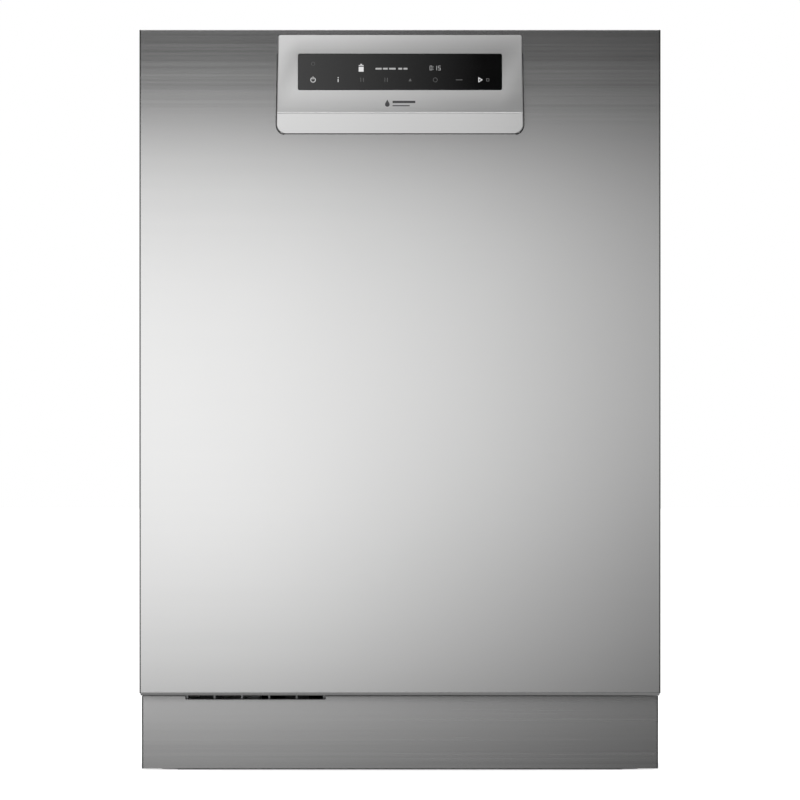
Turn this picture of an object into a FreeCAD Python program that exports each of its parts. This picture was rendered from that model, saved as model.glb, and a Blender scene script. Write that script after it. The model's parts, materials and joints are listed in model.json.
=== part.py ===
import FreeCAD, Part
import math
import os

# Built-in dishwasher. Millimetres, +Z up, the front faces -Y and +X is to the right.
# The origin is the centre of the footprint on the floor.

# Driving dimensions
DOOR_WIDTH = 596.0
HEIGHT = 847.0
DEPTH = 573.0
FASCIA_PROUD = 18.0
DOOR_BOTTOM = 88.0
CABINET_WIDTH = 590.0
SHEET = 1.0
CLEAR = 0.5

HALF_DOOR = DOOR_WIDTH / 2
HALF_CABINET = CABINET_WIDTH / 2
FRONT = -DEPTH / 2
BACK = DEPTH / 2
FACE = FRONT + FASCIA_PROUD
PANEL_BACK = BACK - 17.5

# Door hinge axis, along X, close behind the face so that the lower edge clears the kick plate
PIVOT_Y = FACE + 15.0
PIVOT_Z = DOOR_BOTTOM + 40.0
PIN_R = 4.0
BRACKET_X = (287.5, 290.5)
ARM_X = (283.5, 286.5)

# Door layers, measured from the face
LINER_Y = FACE + 57.0
LINER_HALF = 286.0
LINER_Z = (PIVOT_Z - 5.0, 843.0)
DISH_HALF = 235.0
DISH_Z = (185.0, 800.0)
DISH_DEPTH = 10.0
DISH_Y = LINER_Y - DISH_DEPTH

# Control fascia and its grip
FASCIA_TOP_HALF = 139.4
FASCIA_LOW_HALF = 141.6
FASCIA_Z = (728.5, 841.0)
FASCIA_TOP_PROUD = 3.0
RIDGE_Z = 751.0
LIP_SETBACK = 4.0
FASCIA_WALL = 2.5
FASCIA_CORNER_R = 10.5
GLASS_HALF = 116.6
GLASS_Z = (778.0, 819.5)
POCKET_HALF = 126.0
POCKET_Z = (731.0, 773.0)
POCKET_DEPTH = 32.0
OPENING_HALF = 127.5
OPENING_TOP = 836.0

# Tub
TUB_HALF = 275.0
TUB_FRONT = LINER_Y + 4.5
TUB_BACK = 250.0
TUB_FLOOR = 165.0
TUB_CEILING = 835.0
TRACK_Z = 171.7
TRACK_HALF = 245.0

# Base and feet
BASE_Z = 42.0
BASE_FRONT = -200.0
FOOT_R = 20.0
STEM_R = 5.0
STEM_TOP = 74.0
COLUMN_TOP = 112.0
FRONT_FOOT = (255.0, -165.0)
REAR_FOOT = (0.0, 220.0)
KICK_HALF = 295.8
KICK_BOTTOM = 1.2
KICK_TOP = 85.0
KICK_Y = FACE + 50.0
KICK_DEPTH = 13.5
VENT_X = (-245.0, -86.0)
VENT_Z = (72.0, 86.5)
NOTCH_Z = 81.0
FAN_X, FAN_Z = -167.5, 88.0
FAN_Y = (-196.0, -150.0)
VALVE_X, VALVE_Z = -210.0, 92.0
SPIGOT_X, SPIGOT_Z = -150.0, 118.0
GLAND_X, GLAND_Z = 200.0, 97.0
CONNECTOR = 16.0
SPRING_X, SPRING_Z, SPRING_R = 276.0, 85.0, 9.0
SPRING_Y = (-60.0, 110.0)

# Wash system
ARM_HUB_Y = 10.0
SUMP_Y = -95.0
RISER_R = 12.0
ARM_LENGTH = 212.0
SALT_X = -195.0
SALT_Y = -112.0

# Racks
RACK_HALF = 247.0
RACK_FRONT = LINER_Y + 35.5
WIRE_R = 2.2
LOWER_FLOOR_Z = 206.0
LOWER_RIM_Z = 330.0
LOWER_BACK = 222.0
UPPER_FLOOR_Z = 470.0
UPPER_RIM_Z = 562.0
UPPER_BACK = 205.0
WHEEL_R = 17.0
WHEEL_X = (250.5, 262.0)
WHEEL_Z = TRACK_Z + 0.3 + WHEEL_R
WHEEL_YS = (RACK_FRONT + 100.0, RACK_FRONT + 320.0)
RAIL_Z = 510.0
TINE_Y = 60.0

SIDES = (-1, 1)
X_AXIS = FreeCAD.Vector(1, 0, 0)
Y_AXIS = FreeCAD.Vector(0, 1, 0)
Z_AXIS = FreeCAD.Vector(0, 0, 1)


def box(x, y, z):
    """Block between two values on each axis."""
    corner = FreeCAD.Vector(min(x), min(y), min(z))
    return Part.makeBox(abs(x[1] - x[0]), abs(y[1] - y[0]), abs(z[1] - z[0]), corner)


def side_box(side, x, y, z):
    """Block on the left (-1) or right (+1) side, with x counted outwards."""
    return box((side * x[0], side * x[1]), y, z)


def rod(start, end, radius):
    """Round bar between two points."""
    first = FreeCAD.Vector(*start)
    along = FreeCAD.Vector(*end) - first
    return Part.makeCylinder(radius, along.Length, first, along)


def disc(center, radius, z):
    """Upright cylinder between two heights."""
    return rod((center[0], center[1], z[0]), (center[0], center[1], z[1]), radius)


def ring(center, radii, z):
    """Upright tube between two heights, with its inner and outer radius."""
    hole = (z[0] - 1, z[1] + 1)
    return disc(center, radii[1], z).cut(disc(center, radii[0], hole))


def fuse(shapes):
    """One solid from shapes that meet or overlap."""
    return shapes[0].multiFuse(shapes[1:]).removeSplitter()


def prism_x(points, half):
    """Outline in the YZ plane, drawn out to both sides of the centre."""
    corners = [FreeCAD.Vector(-half, y, z) for y, z in points]
    face = Part.Face(Part.makePolygon(corners + corners[:1]))
    return face.extrude(FreeCAD.Vector(2 * half, 0, 0))


def shell_box(x, y, z, wall, open_side):
    """Box with walls all round but one open side, named as -y, +y or +z."""
    inner = [[x[0] + wall, x[1] - wall], [y[0] + wall, y[1] - wall], [z[0] + wall, z[1] - wall]]
    axis = "xyz".index(open_side[1])
    if open_side[0] == "-":
        inner[axis][0] -= 2 * wall
    else:
        inner[axis][1] += 2 * wall
    return box(x, y, z).cut(box(*inner))


def save(name, shapes):
    """Write one node: a single solid, or a group of separate identical ones."""
    shape = shapes[0] if len(shapes) == 1 else Part.makeCompound(shapes)
    for solid in shape.Solids:
        if not solid.isValid():
            raise ValueError(name + " is not a valid solid")
    if len(shape.Solids) != len(shapes):
        raise ValueError(name + " has %d solids, not %d" % (len(shape.Solids), len(shapes)))
    shape.exportStep("parts/" + name + ".step")


def front_y(z):
    """Depth of the sloping upper front of the fascia at a height."""
    rise = (z - RIDGE_Z) / (FASCIA_Z[1] - RIDGE_Z)
    return FRONT + rise * (FASCIA_PROUD - FASCIA_TOP_PROUD)


# ---------------------------------------------------------------- door

def door_panel():
    """Folded outer door sheet with the opening behind the fascia."""
    fold = 26.0
    low_fold = 3.0
    outer = box((-HALF_DOOR, HALF_DOOR), (FACE, FACE + fold), (DOOR_BOTTOM, HEIGHT))
    hollow = box((-HALF_DOOR + SHEET, HALF_DOOR - SHEET), (FACE + SHEET, FACE + fold + 1),
                 (DOOR_BOTTOM + SHEET, HEIGHT - SHEET))
    low_cut = box((-HALF_DOOR + SHEET, HALF_DOOR - SHEET), (FACE + low_fold, FACE + fold + 1),
                  (DOOR_BOTTOM - 1, DOOR_BOTTOM + 2 * SHEET))
    opening = box((-OPENING_HALF, OPENING_HALF), (FACE - 1, FACE + 2), (FASCIA_Z[0] + 1.5, OPENING_TOP))
    return outer.cut(hollow).cut(low_cut).cut(opening)


def door_liner():
    """Pressed steel inner door with a dished middle."""
    rim_depth = 27.5
    outer = box((-LINER_HALF, LINER_HALF), (LINER_Y - rim_depth, LINER_Y), LINER_Z)
    hollow = box((-LINER_HALF + SHEET, LINER_HALF - SHEET), (LINER_Y - rim_depth - 1, LINER_Y - SHEET),
                 (LINER_Z[0] + SHEET, LINER_Z[1] - SHEET))
    dish = box((-DISH_HALF - SHEET, DISH_HALF + SHEET), (DISH_Y - SHEET, LINER_Y - SHEET),
               (DISH_Z[0] - SHEET, DISH_Z[1] + SHEET))
    dish_hollow = box((-DISH_HALF, DISH_HALF), (DISH_Y, LINER_Y + 1), DISH_Z)
    liner = outer.cut(hollow).fuse(dish).cut(dish_hollow)
    dispenser_hole = box((-78.0, 78.0), (DISH_Y - 2, DISH_Y + 1), (457.0, 603.0))
    latch_mouth = box((-14.0, 14.0), (LINER_Y - 2, LINER_Y + 1), (809.0, 825.0))
    return liner.cut(dispenser_hole).cut(latch_mouth)


def door_frame():
    """Folded frame that joins the outer sheet to the liner, with a toe cover at the bottom."""
    web_x = (295.0, 296.5)
    flange_y = (FACE + 27.0, FACE + 28.5)
    flange_x = (270.0, 296.5)
    low_z = DOOR_BOTTOM + 7.0
    top_z = HEIGHT - 2.0
    pieces = []
    for side in SIDES:
        pieces.append(side_box(side, web_x, (FACE + SHEET, flange_y[1]), (low_z, top_z)))
        pieces.append(side_box(side, flange_x, flange_y, (PIVOT_Z + 22.0, top_z)))
    pieces.append(box((-295.0, 295.0), (FACE + SHEET, flange_y[1]), (top_z - 1.5, top_z)))
    toe_y = (FACE + 25.5, FACE + 27.0)
    pieces.append(box((-280.0, 280.0), toe_y, (low_z, LINER_Z[0])))
    pieces.append(box((-296.5, 296.5), (FACE + SHEET, FACE + 4.0), (low_z, low_z + 4.0)))
    pieces.append(box((-280.0, 280.0), (FACE + 2.0, toe_y[1]), (low_z, low_z + 1.5)))
    return fuse(pieces)


def door_insulation():
    """Felt pad between the outer sheet and the liner, cut out round the dispenser."""
    pad = box((-268.0, 268.0), (FACE + 6.0, DISH_Y - 6.0), (190.0, 715.0))
    return pad.cut(box((-90.0, 90.0), (FACE + 5.0, DISH_Y), (448.0, 612.0)))


def fascia_block(inset, low):
    """Front outline of the fascia, slightly wider at its foot, as a block along Y."""
    top = FASCIA_Z[1] - inset
    low_half = FASCIA_LOW_HALF - inset
    top_half = FASCIA_TOP_HALF - inset
    corners = [(-low_half, low), (low_half, low), (top_half, top), (-top_half, top)]
    points = [FreeCAD.Vector(x, FRONT - 5, z) for x, z in corners]
    face = Part.Face(Part.makePolygon(points + points[:1]))
    return face.extrude(FreeCAD.Vector(0, FASCIA_PROUD + 10, 0))


def fascia_outline():
    """Outside of the fascia seen from the front, with its two rounded lower corners."""
    block = fascia_block(0.0, FASCIA_Z[0])
    lower_edges = [edge for edge in block.Edges
                   if abs(edge.tangentAt(edge.FirstParameter).y) > 0.99 and edge.BoundBox.ZMax < RIDGE_Z]
    return block.makeFillet(FASCIA_CORNER_R, lower_edges)


def control_fascia():
    """Wedge-shaped control panel whose lower lip is the door grip, with a window for the glass."""
    half = FASCIA_LOW_HALF + 5
    profile = [(FACE, FASCIA_Z[1]), (FACE - FASCIA_TOP_PROUD, FASCIA_Z[1]), (FRONT, RIDGE_Z),
               (FRONT + LIP_SETBACK, FASCIA_Z[0]), (FACE, FASCIA_Z[0])]
    outer = prism_x(profile, half).common(fascia_outline())
    top = FASCIA_Z[1] - FASCIA_WALL
    hollow_profile = [(FACE + 1, top), (front_y(top) + FASCIA_WALL, top), (FRONT + FASCIA_WALL, RIDGE_Z),
                      (FRONT + LIP_SETBACK + FASCIA_WALL, FASCIA_Z[0] - 2), (FACE + 1, FASCIA_Z[0] - 2)]
    hollow = prism_x(hollow_profile, half).common(fascia_block(FASCIA_WALL, FASCIA_Z[0] - 5.0))
    window = box((-GLASS_HALF - 0.2, GLASS_HALF + 0.2), (FRONT - 1, FACE - 1),
                 (GLASS_Z[0] - 0.2, GLASS_Z[1] + 0.2))
    shell = outer.cut(hollow).cut(window)
    shelf_z = (POCKET_Z[1], POCKET_Z[1] + FASCIA_WALL)
    shelf_front = front_y(shelf_z[1]) + 1.0
    divider = box((1 - FASCIA_TOP_HALF, FASCIA_TOP_HALF - 1), (shelf_front, FACE), shelf_z)
    return shell.fuse(divider)


def display_glass():
    """Black glass window, flush with the sloping front."""
    points = [(front_y(GLASS_Z[0]), GLASS_Z[0]), (front_y(GLASS_Z[1]), GLASS_Z[1]),
              (front_y(GLASS_Z[1]) + 2.0, GLASS_Z[1]), (front_y(GLASS_Z[0]) + 2.0, GLASS_Z[0])]
    return prism_x(points, GLASS_HALF)


def handle_pocket():
    """Grip recess behind the lower lip, open to the front."""
    return shell_box((-POCKET_HALF, POCKET_HALF), (FACE, FACE + POCKET_DEPTH), POCKET_Z, 2.0, "-y")


def control_board():
    """Power and control electronics in the top of the door."""
    board = box((-105.0, 105.0), (FACE + 12.0, FACE + 13.6), (780.0, 830.0))
    parts = [board]
    for x, width, depth in ((-80.0, 26.0, 14.0), (-38.0, 18.0, 9.0), (0.0, 30.0, 16.0), (52.0, 22.0, 12.0)):
        parts.append(box((x, x + width), (FACE + 13.6, FACE + 13.6 + depth), (788.0, 816.0)))
    return fuse(parts)


def door_latch():
    """Latch body with the mouth for the striker."""
    body = box((-32.0, 32.0), (FACE + 34.0, LINER_Y - SHEET), (803.0, 831.0))
    mouth = box((-13.0, 13.0), (LINER_Y - 22.0, LINER_Y), (809.5, 824.5))
    return body.cut(mouth)


def dispenser_body():
    """Detergent and rinse-aid dispenser in the inner door."""
    plate = box((-80.0, 80.0), (DISH_Y, DISH_Y + 2.0), (455.0, 605.0))
    tank = box((-77.0, 77.0), (DISH_Y - 18.0, DISH_Y), (458.0, 602.0))
    cup = box((-65.0, 15.0), (DISH_Y - 16.0, DISH_Y + 3.0), (537.0, 593.0))
    filler = rod((48.0, DISH_Y - 12.0, 565.0), (48.0, DISH_Y + 3.0, 565.0), 15.5)
    return fuse([plate, tank]).cut(cup).cut(filler)


def detergent_lid():
    """Sliding lid over the detergent cup, with a finger rib."""
    face = DISH_Y + 2.0 + CLEAR
    lid = box((-68.0, 18.0), (face, face + 3.0), (534.0, 596.0))
    rib = box((-60.0, 10.0), (face + 3.0, face + 5.0), (540.0, 543.0))
    return lid.fuse(rib)


def rinse_aid_cap():
    """Twist cap of the rinse-aid reservoir, with its grip bar."""
    face = DISH_Y + 2.0 + CLEAR
    stem = rod((48.0, DISH_Y - 8.0, 565.0), (48.0, face, 565.0), 15.0)
    head = rod((48.0, face, 565.0), (48.0, face + 2.5, 565.0), 19.0)
    grip = box((32.0, 64.0), (face + 2.5, face + 6.0), (562.5, 567.5))
    return fuse([stem, head, grip])


def hinge_arm(side):
    """Steel strap inside the door that turns about the hinge pin."""
    strap = side_box(side, ARM_X, (PIVOT_Y - 11.0, PIVOT_Y + 11.0), (PIVOT_Z - 11.0, PIVOT_Z + 150.0))
    hole = rod((side * ARM_X[0] - side, PIVOT_Y, PIVOT_Z), (side * ARM_X[1] + side, PIVOT_Y, PIVOT_Z), PIN_R)
    return strap.cut(hole)


def hinge_pin(side):
    """Pin of one hinge, with a head on its inner end."""
    shank = rod((side * ARM_X[0], PIVOT_Y, PIVOT_Z), (side * 292.5, PIVOT_Y, PIVOT_Z), PIN_R)
    head = rod((side * (ARM_X[0] - 3.0), PIVOT_Y, PIVOT_Z), (side * ARM_X[0], PIVOT_Y, PIVOT_Z), PIN_R + 3.0)
    return shank.fuse(head)


# ---------------------------------------------------------------- cabinet

def base_tray():
    """Moulded base tray with the threaded columns for the feet."""
    half = 293.5
    wall = 3.0
    tray = shell_box((-half, half), (BASE_FRONT, PANEL_BACK - 0.5), (BASE_Z, 150.0), wall, "+z")
    front_cut = box((-half - 1, half + 1), (BASE_FRONT - 1, BASE_FRONT + wall + 1), (62.0, 160.0))
    corner_cut = [side_box(side, (260.0, half + 1), (BASE_FRONT - 1, BASE_FRONT + 6), (62.0, 160.0))
                  for side in SIDES]
    tray = tray.cut(front_cut)
    for cut in corner_cut:
        tray = tray.cut(cut)
    columns = []
    holes = []
    for x, y in foot_places():
        top = COLUMN_TOP if y > 0 else TUB_FLOOR - SHEET
        columns.append(disc((x, y), 13.0, (BASE_Z, top)))
        holes.append(disc((x, y), STEM_R + 0.08, (BASE_Z - 1, COLUMN_TOP - 3.0)))
    rear_posts = [side_box(side, (240.0, 268.0), (205.0, 235.0), (BASE_Z, TUB_FLOOR - SHEET)) for side in SIDES]
    for x, z, radius in ((VALVE_X, VALVE_Z, 17.0), (SPIGOT_X, SPIGOT_Z, 13.0), (GLAND_X, GLAND_Z, 9.6)):
        holes.append(rod((x, PANEL_BACK - 10.0, z), (x, PANEL_BACK + 1.0, z), radius))
    tray = fuse([tray] + columns + rear_posts)
    for hole in holes:
        tray = tray.cut(hole)
    drain_slot = box((60.0, 100.0), (PANEL_BACK - 10.0, PANEL_BACK + 1), (142.0, 151.0))
    return tray.cut(drain_slot)


def foot_places():
    """Centres of the three feet."""
    return [(-FRONT_FOOT[0], FRONT_FOOT[1]), FRONT_FOOT, REAR_FOOT]


def foot(place):
    """Screw foot: round pad, hexagon and stem."""
    pad = disc(place, FOOT_R, (0.0, 5.0))
    corners = []
    for index in range(7):
        angle = math.radians(60.0 * index)
        corners.append(FreeCAD.Vector(place[0] + 10 * math.cos(angle), place[1] + 10 * math.sin(angle), 5.0))
    hexagon = Part.Face(Part.makePolygon(corners)).extrude(FreeCAD.Vector(0, 0, 4.0))
    stem = disc(place, STEM_R, (9.0, STEM_TOP))
    return fuse([pad, hexagon, stem])


def kick_plate():
    """Folded plinth sheet, recessed under the door, with a notch for the vent."""
    thick = 1.5
    outer = box((-KICK_HALF, KICK_HALF), (KICK_Y, KICK_Y + KICK_DEPTH), (KICK_BOTTOM, KICK_TOP))
    hollow = box((-KICK_HALF + thick, KICK_HALF - thick), (KICK_Y + thick, KICK_Y + KICK_DEPTH + 1),
                 (0.0, KICK_TOP - thick))
    notch = box((VENT_X[0] - CLEAR, VENT_X[1] + CLEAR), (KICK_Y - 1, KICK_Y + KICK_DEPTH + 1),
                (NOTCH_Z, KICK_TOP + 1))
    return outer.cut(hollow).cut(notch)


def kick_strip():
    """Rubber strip that closes the gap to the floor."""
    return box((-255.0, 255.0), (KICK_Y - 0.5, KICK_Y + 5.0), (0.2, KICK_BOTTOM))


def vent_grille():
    """Exhaust grille behind the kick plate, with a row of slots that shows in the plate's notch."""
    slot_count = 5
    rib = 2.2
    front = KICK_Y + 2.0
    grille = box(VENT_X, (front, front + 8.0), VENT_Z)
    grille = grille.cut(box((VENT_X[0] + 2, VENT_X[1] - 2), (front + 2.5, front + 9.0),
                            (VENT_Z[0] + 2, VENT_Z[1] - 1)))
    pitch = (VENT_X[1] - VENT_X[0] - rib) / slot_count
    for index in range(slot_count):
        left = VENT_X[0] + rib + index * pitch
        grille = grille.cut(box((left, left + pitch - rib), (front - 1, front + 3.0), (NOTCH_Z - 0.5, VENT_Z[1] - 1.5)))
    return grille


def fan_housing():
    """Blower housing behind the grille, open to the front and back."""
    front, rear = FAN_Y
    housing = box((FAN_X - 62.5, FAN_X + 62.5), FAN_Y, (FAN_Z - 41.0, FAN_Z + 42.0))
    bore = rod((FAN_X, front - 1, FAN_Z), (FAN_X, rear + 1, FAN_Z), 36.0)
    hub = rod((FAN_X, rear - 5.0, FAN_Z), (FAN_X, rear, FAN_Z), 9.0)
    bar = box((FAN_X - 37.5, FAN_X + 37.5), (rear - 3.0, rear), (FAN_Z - 2.5, FAN_Z + 2.5))
    return housing.cut(bore).fuse(hub).fuse(bar)


def fan_rotor():
    """Blower wheel with straight blades."""
    hub = rod((FAN_X, FAN_Y[0] + 6.0, FAN_Z), (FAN_X, FAN_Y[1] - 5.5, FAN_Z), 9.0)
    blades = [hub]
    for index in range(8):
        blade = box((FAN_X + 8.0, FAN_X + 33.0), (FAN_Y[0] + 8.0, FAN_Y[1] - 8.0), (FAN_Z - 0.8, FAN_Z + 0.8))
        blade.rotate(FreeCAD.Vector(FAN_X, 0, FAN_Z), Y_AXIS, 45.0 * index)
        blades.append(blade)
    return fuse(blades)


def side_panel(side):
    """Side wall with its front lower corner cut back for the swinging door."""
    panel = side_box(side, (HALF_CABINET - SHEET, HALF_CABINET), (FACE + 32.5, PANEL_BACK), (60.0, 845.5))
    return panel.cut(side_box(side, (HALF_CABINET - 5, HALF_CABINET + 5), (FACE, PIVOT_Y + 49.0), (59.0, 180.0)))


def back_panel():
    """Rear wall."""
    return box((-HALF_CABINET, HALF_CABINET), (PANEL_BACK, PANEL_BACK + SHEET), (152.0, 845.5))


def top_panel():
    """Top cover with the two lugs that are screwed up into the worktop."""
    inside = HALF_CABINET - SHEET
    cover = box((-inside, inside), (TUB_FRONT - 6.0, PANEL_BACK), (844.5, 845.5))
    lugs = [side_box(side, (200.0, 230.0), (FACE + 33.0, TUB_FRONT - 6.0), (844.5, 845.5)) for side in SIDES]
    cover = fuse([cover] + lugs)
    for side in SIDES:
        cover = cover.cut(disc((side * 215.0, FACE + 42.0), 2.5, (840.0, 850.0)))
    return cover


def tub():
    """Stainless wash tub, open to the front, with its front flange, rack tracks and openings."""
    outer = box((-TUB_HALF - SHEET, TUB_HALF + SHEET), (TUB_FRONT, TUB_BACK + SHEET),
                (TUB_FLOOR - SHEET, TUB_CEILING + SHEET))
    inner = box((-TUB_HALF, TUB_HALF), (TUB_FRONT - 1, TUB_BACK), (TUB_FLOOR, TUB_CEILING))
    flange = box((-293.9, 293.9), (TUB_FRONT, TUB_FRONT + SHEET), (TUB_FLOOR, 844.0))
    low_flange = box((-284.5, 284.5), (TUB_FRONT, TUB_FRONT + SHEET), (130.0, TUB_FLOOR))
    tracks = [side_box(side, (TRACK_HALF, TUB_HALF), (TUB_FRONT, TUB_BACK), (TUB_FLOOR - SHEET, TRACK_Z))
              for side in SIDES]
    track_hollows = [side_box(side, (TRACK_HALF + SHEET, TUB_HALF - SHEET), (TUB_FRONT - 1, TUB_BACK - SHEET),
                              (TUB_FLOOR - 2, TRACK_Z - SHEET)) for side in SIDES]
    shape = fuse([outer, flange, low_flange]).cut(inner).multiFuse(tracks)
    for hollow in track_hollows:
        shape = shape.cut(hollow)
    openings = [disc((0.0, SUMP_Y), 70.0, (150.0, 170.0)), disc((0.0, ARM_HUB_Y), RISER_R, (150.0, 170.0)),
                disc((SALT_X, SALT_Y), 30.0, (150.0, 170.0)),
                box((-22.0, 22.0), (234.0, 247.0), (150.0, 170.0))]
    for opening in openings:
        shape = shape.cut(opening)
    return shape.removeSplitter()


def tub_insulation():
    """Felt blanket over the sides, back and top of the tub, with a window for the air-break tank."""
    outer = box((-286.0, 286.0), (-198.0, 254.0), (200.0, 842.0))
    inner = box((-TUB_HALF - SHEET, TUB_HALF + SHEET), (-199.0, TUB_BACK + SHEET), (199.0, TUB_CEILING + SHEET))
    window = box((-290.0, -270.0), (-75.0, 195.0), (320.0, 770.0))
    return outer.cut(inner).cut(window)


def door_seal():
    """Gasket all round the tub opening."""
    y = (LINER_Y + 0.4, TUB_FRONT)
    outer = box((-284.0, 284.0), y, (138.0, 842.5))
    return outer.cut(box((-276.0, 276.0), (y[0] - 1, y[1] + 1), (150.0, 836.0)))


def latch_striker():
    """Bent striker plate under the tub ceiling."""
    leg = box((-12.0, 12.0), (TUB_FRONT + 2.0, TUB_FRONT + 4.0), (815.0, TUB_CEILING))
    tongue = box((-9.0, 9.0), (LINER_Y - 17.0, TUB_FRONT + 4.0), (815.0, 818.0))
    return leg.fuse(tongue)


def hinge_bracket(side):
    """Steel plate on the base tray that carries one hinge pin."""
    plate = side_box(side, BRACKET_X, (PIVOT_Y + 8.0, -120.0), (PIVOT_Z - 9.0, PIVOT_Z + 9.0))
    nose = rod((side * BRACKET_X[0], PIVOT_Y, PIVOT_Z), (side * BRACKET_X[1], PIVOT_Y, PIVOT_Z), 9.0)
    neck = side_box(side, BRACKET_X, (PIVOT_Y, PIVOT_Y + 8.0), (PIVOT_Z - 9.0, PIVOT_Z + 9.0))
    tail = side_box(side, BRACKET_X, (-190.0, -120.0), (70.0, PIVOT_Z))
    bore = rod((side * 280.0, PIVOT_Y, PIVOT_Z), (side * 300.0, PIVOT_Y, PIVOT_Z), PIN_R + 0.08)
    return fuse([plate, nose, neck, tail]).cut(bore)


def door_spring(side):
    """Balance spring of the door in the base, drawn as its coil envelope with both hooks."""
    def bar(front, rear, radius):
        return rod((side * SPRING_X, front, SPRING_Z), (side * SPRING_X, rear, SPRING_Z), radius)

    front, rear = SPRING_Y
    coil = bar(front, rear, SPRING_R).cut(bar(front - 1, rear + 1, SPRING_R - 3.0))
    hooks = [bar(front - 24.0, front + 6.0, 1.5), bar(rear - 6.0, rear + 24.0, 1.5)]
    caps = [bar(front, front + 4.0, SPRING_R), bar(rear - 4.0, rear, SPRING_R)]
    return fuse([coil] + hooks + caps)


# ---------------------------------------------------------------- wash system

def sump():
    """Sump bowl under the tub with the riser of the lower spray arm."""
    bowl = disc((0.0, SUMP_Y), 85.0, (95.0, TUB_FLOOR - SHEET))
    hollow = disc((0.0, SUMP_Y), 70.0, (100.0, TUB_FLOOR))
    duct = box((-15.0, 15.0), (SUMP_Y + 72.0, ARM_HUB_Y + 15.0), (118.0, TUB_FLOOR - SHEET))
    riser = disc((0.0, ARM_HUB_Y), RISER_R, (TUB_FLOOR - 5.0, 178.0))
    stubs = [box((-92.0, -60.0), (SUMP_Y - 15.0, SUMP_Y + 15.0), (100.0, 125.0)),
             box((60.0, 92.0), (SUMP_Y - 20.0, SUMP_Y + 20.0), (100.0, 130.0))]
    body = fuse([bowl] + stubs).cut(hollow)
    return fuse([body, duct, riser])


def circulation_pump():
    """Circulation pump with its flow heater ring and motor."""
    heater = rod((92.0, SUMP_Y, 108.0), (124.0, SUMP_Y, 108.0), 50.0)
    motor = rod((124.0, SUMP_Y, 108.0), (228.0, SUMP_Y, 108.0), 40.0)
    shaft_end = rod((228.0, SUMP_Y, 108.0), (236.0, SUMP_Y, 108.0), 14.0)
    return fuse([heater, motor, shaft_end])


def drain_pump():
    """Drain pump on the left of the sump."""
    volute = rod((-92.0, SUMP_Y, 112.0), (-112.0, SUMP_Y, 112.0), 27.0)
    motor = rod((-112.0, SUMP_Y, 112.0), (-140.0, SUMP_Y, 112.0), 20.0)
    return fuse([volute, motor])


def filter_cup():
    """Coarse filter cup with a grip bar, turned to unlock."""
    wall = ring((0.0, SUMP_Y), (33.0, 35.0), (104.0, 168.5))
    floor = disc((0.0, SUMP_Y), 35.0, (103.0, 105.0))
    rim = ring((0.0, SUMP_Y), (33.0, 40.0), (167.4, 169.4))
    grip = box((-33.5, 33.5), (SUMP_Y - 2.0, SUMP_Y + 2.0), (156.0, 172.5))
    return fuse([wall, floor, rim, grip])


def filter_plate():
    """Fine filter plate round the cup, resting on the tub floor."""
    return ring((0.0, SUMP_Y), (36.0, 84.0), (TUB_FLOOR, TUB_FLOOR + 1.8))


def salt_container():
    """Water softener with its salt chamber and neck."""
    tank = shell_box((-262.0, -160.0), (-142.0, 70.0), (47.0, TUB_FLOOR - SHEET), 3.0, "-y")
    front = box((-262.0, -160.0), (-142.0, -139.0), (47.0, TUB_FLOOR - SHEET))
    neck = ring((SALT_X, SALT_Y), (26.0, 30.0), (TUB_FLOOR - 4.0, TUB_FLOOR + 3.0))
    mouth = disc((SALT_X, SALT_Y), 26.0, (TUB_FLOOR - 8.0, TUB_FLOOR + 5.0))
    return fuse([tank, front, neck]).cut(mouth)


def salt_cap():
    """Screw cap of the salt chamber with a grip bar."""
    plug = disc((SALT_X, SALT_Y), 25.5, (TUB_FLOOR - 6.0, TUB_FLOOR + 3.4))
    top = disc((SALT_X, SALT_Y), 33.0, (TUB_FLOOR + 3.4, TUB_FLOOR + 6.0))
    grip = box((SALT_X - 24.0, SALT_X + 24.0), (SALT_Y - 2.5, SALT_Y + 2.5), (TUB_FLOOR + 6.0, TUB_FLOOR + 8.5))
    return fuse([plug, top, grip])


def air_break_tank():
    """Flat water inlet tank between the tub and the left side wall."""
    tank = box((-293.5, -277.5), (-70.0, 190.0), (325.0, 765.0))
    channel = box((-290.0, -280.0), (-66.0, 50.0), (400.0, 500.0))
    return tank.cut(channel)


def feed_pipe():
    """Moulded water duct to the upper levels: under the floor, up the back wall and along the ceiling."""
    low = box((-12.0, 12.0), (ARM_HUB_Y + 15.0, 240.0), (118.0, 140.0))
    foot_piece = box((-22.0, 22.0), (234.0, 247.0), (118.0, TUB_FLOOR))
    rear = box((-22.0, 22.0), (234.0, 247.0), (TUB_FLOOR, 825.0))
    along = box((-14.0, 14.0), (ARM_HUB_Y - 20.0, 240.0), (818.0, 832.0))
    return fuse([low, foot_piece, rear, along])


def ceiling_shower():
    """Fixed shower head under the tub ceiling."""
    plate = disc((0.0, ARM_HUB_Y), 42.0, (811.0, 816.0))
    neck = disc((0.0, ARM_HUB_Y), 12.0, (816.0, 818.0))
    shape = plate.fuse(neck)
    for index in range(8):
        angle = math.radians(45.0 * index)
        place = (28.0 * math.cos(angle), ARM_HUB_Y + 28.0 * math.sin(angle))
        shape = shape.cut(disc(place, 2.5, (810.0, 817.0)))
    return shape


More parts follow.
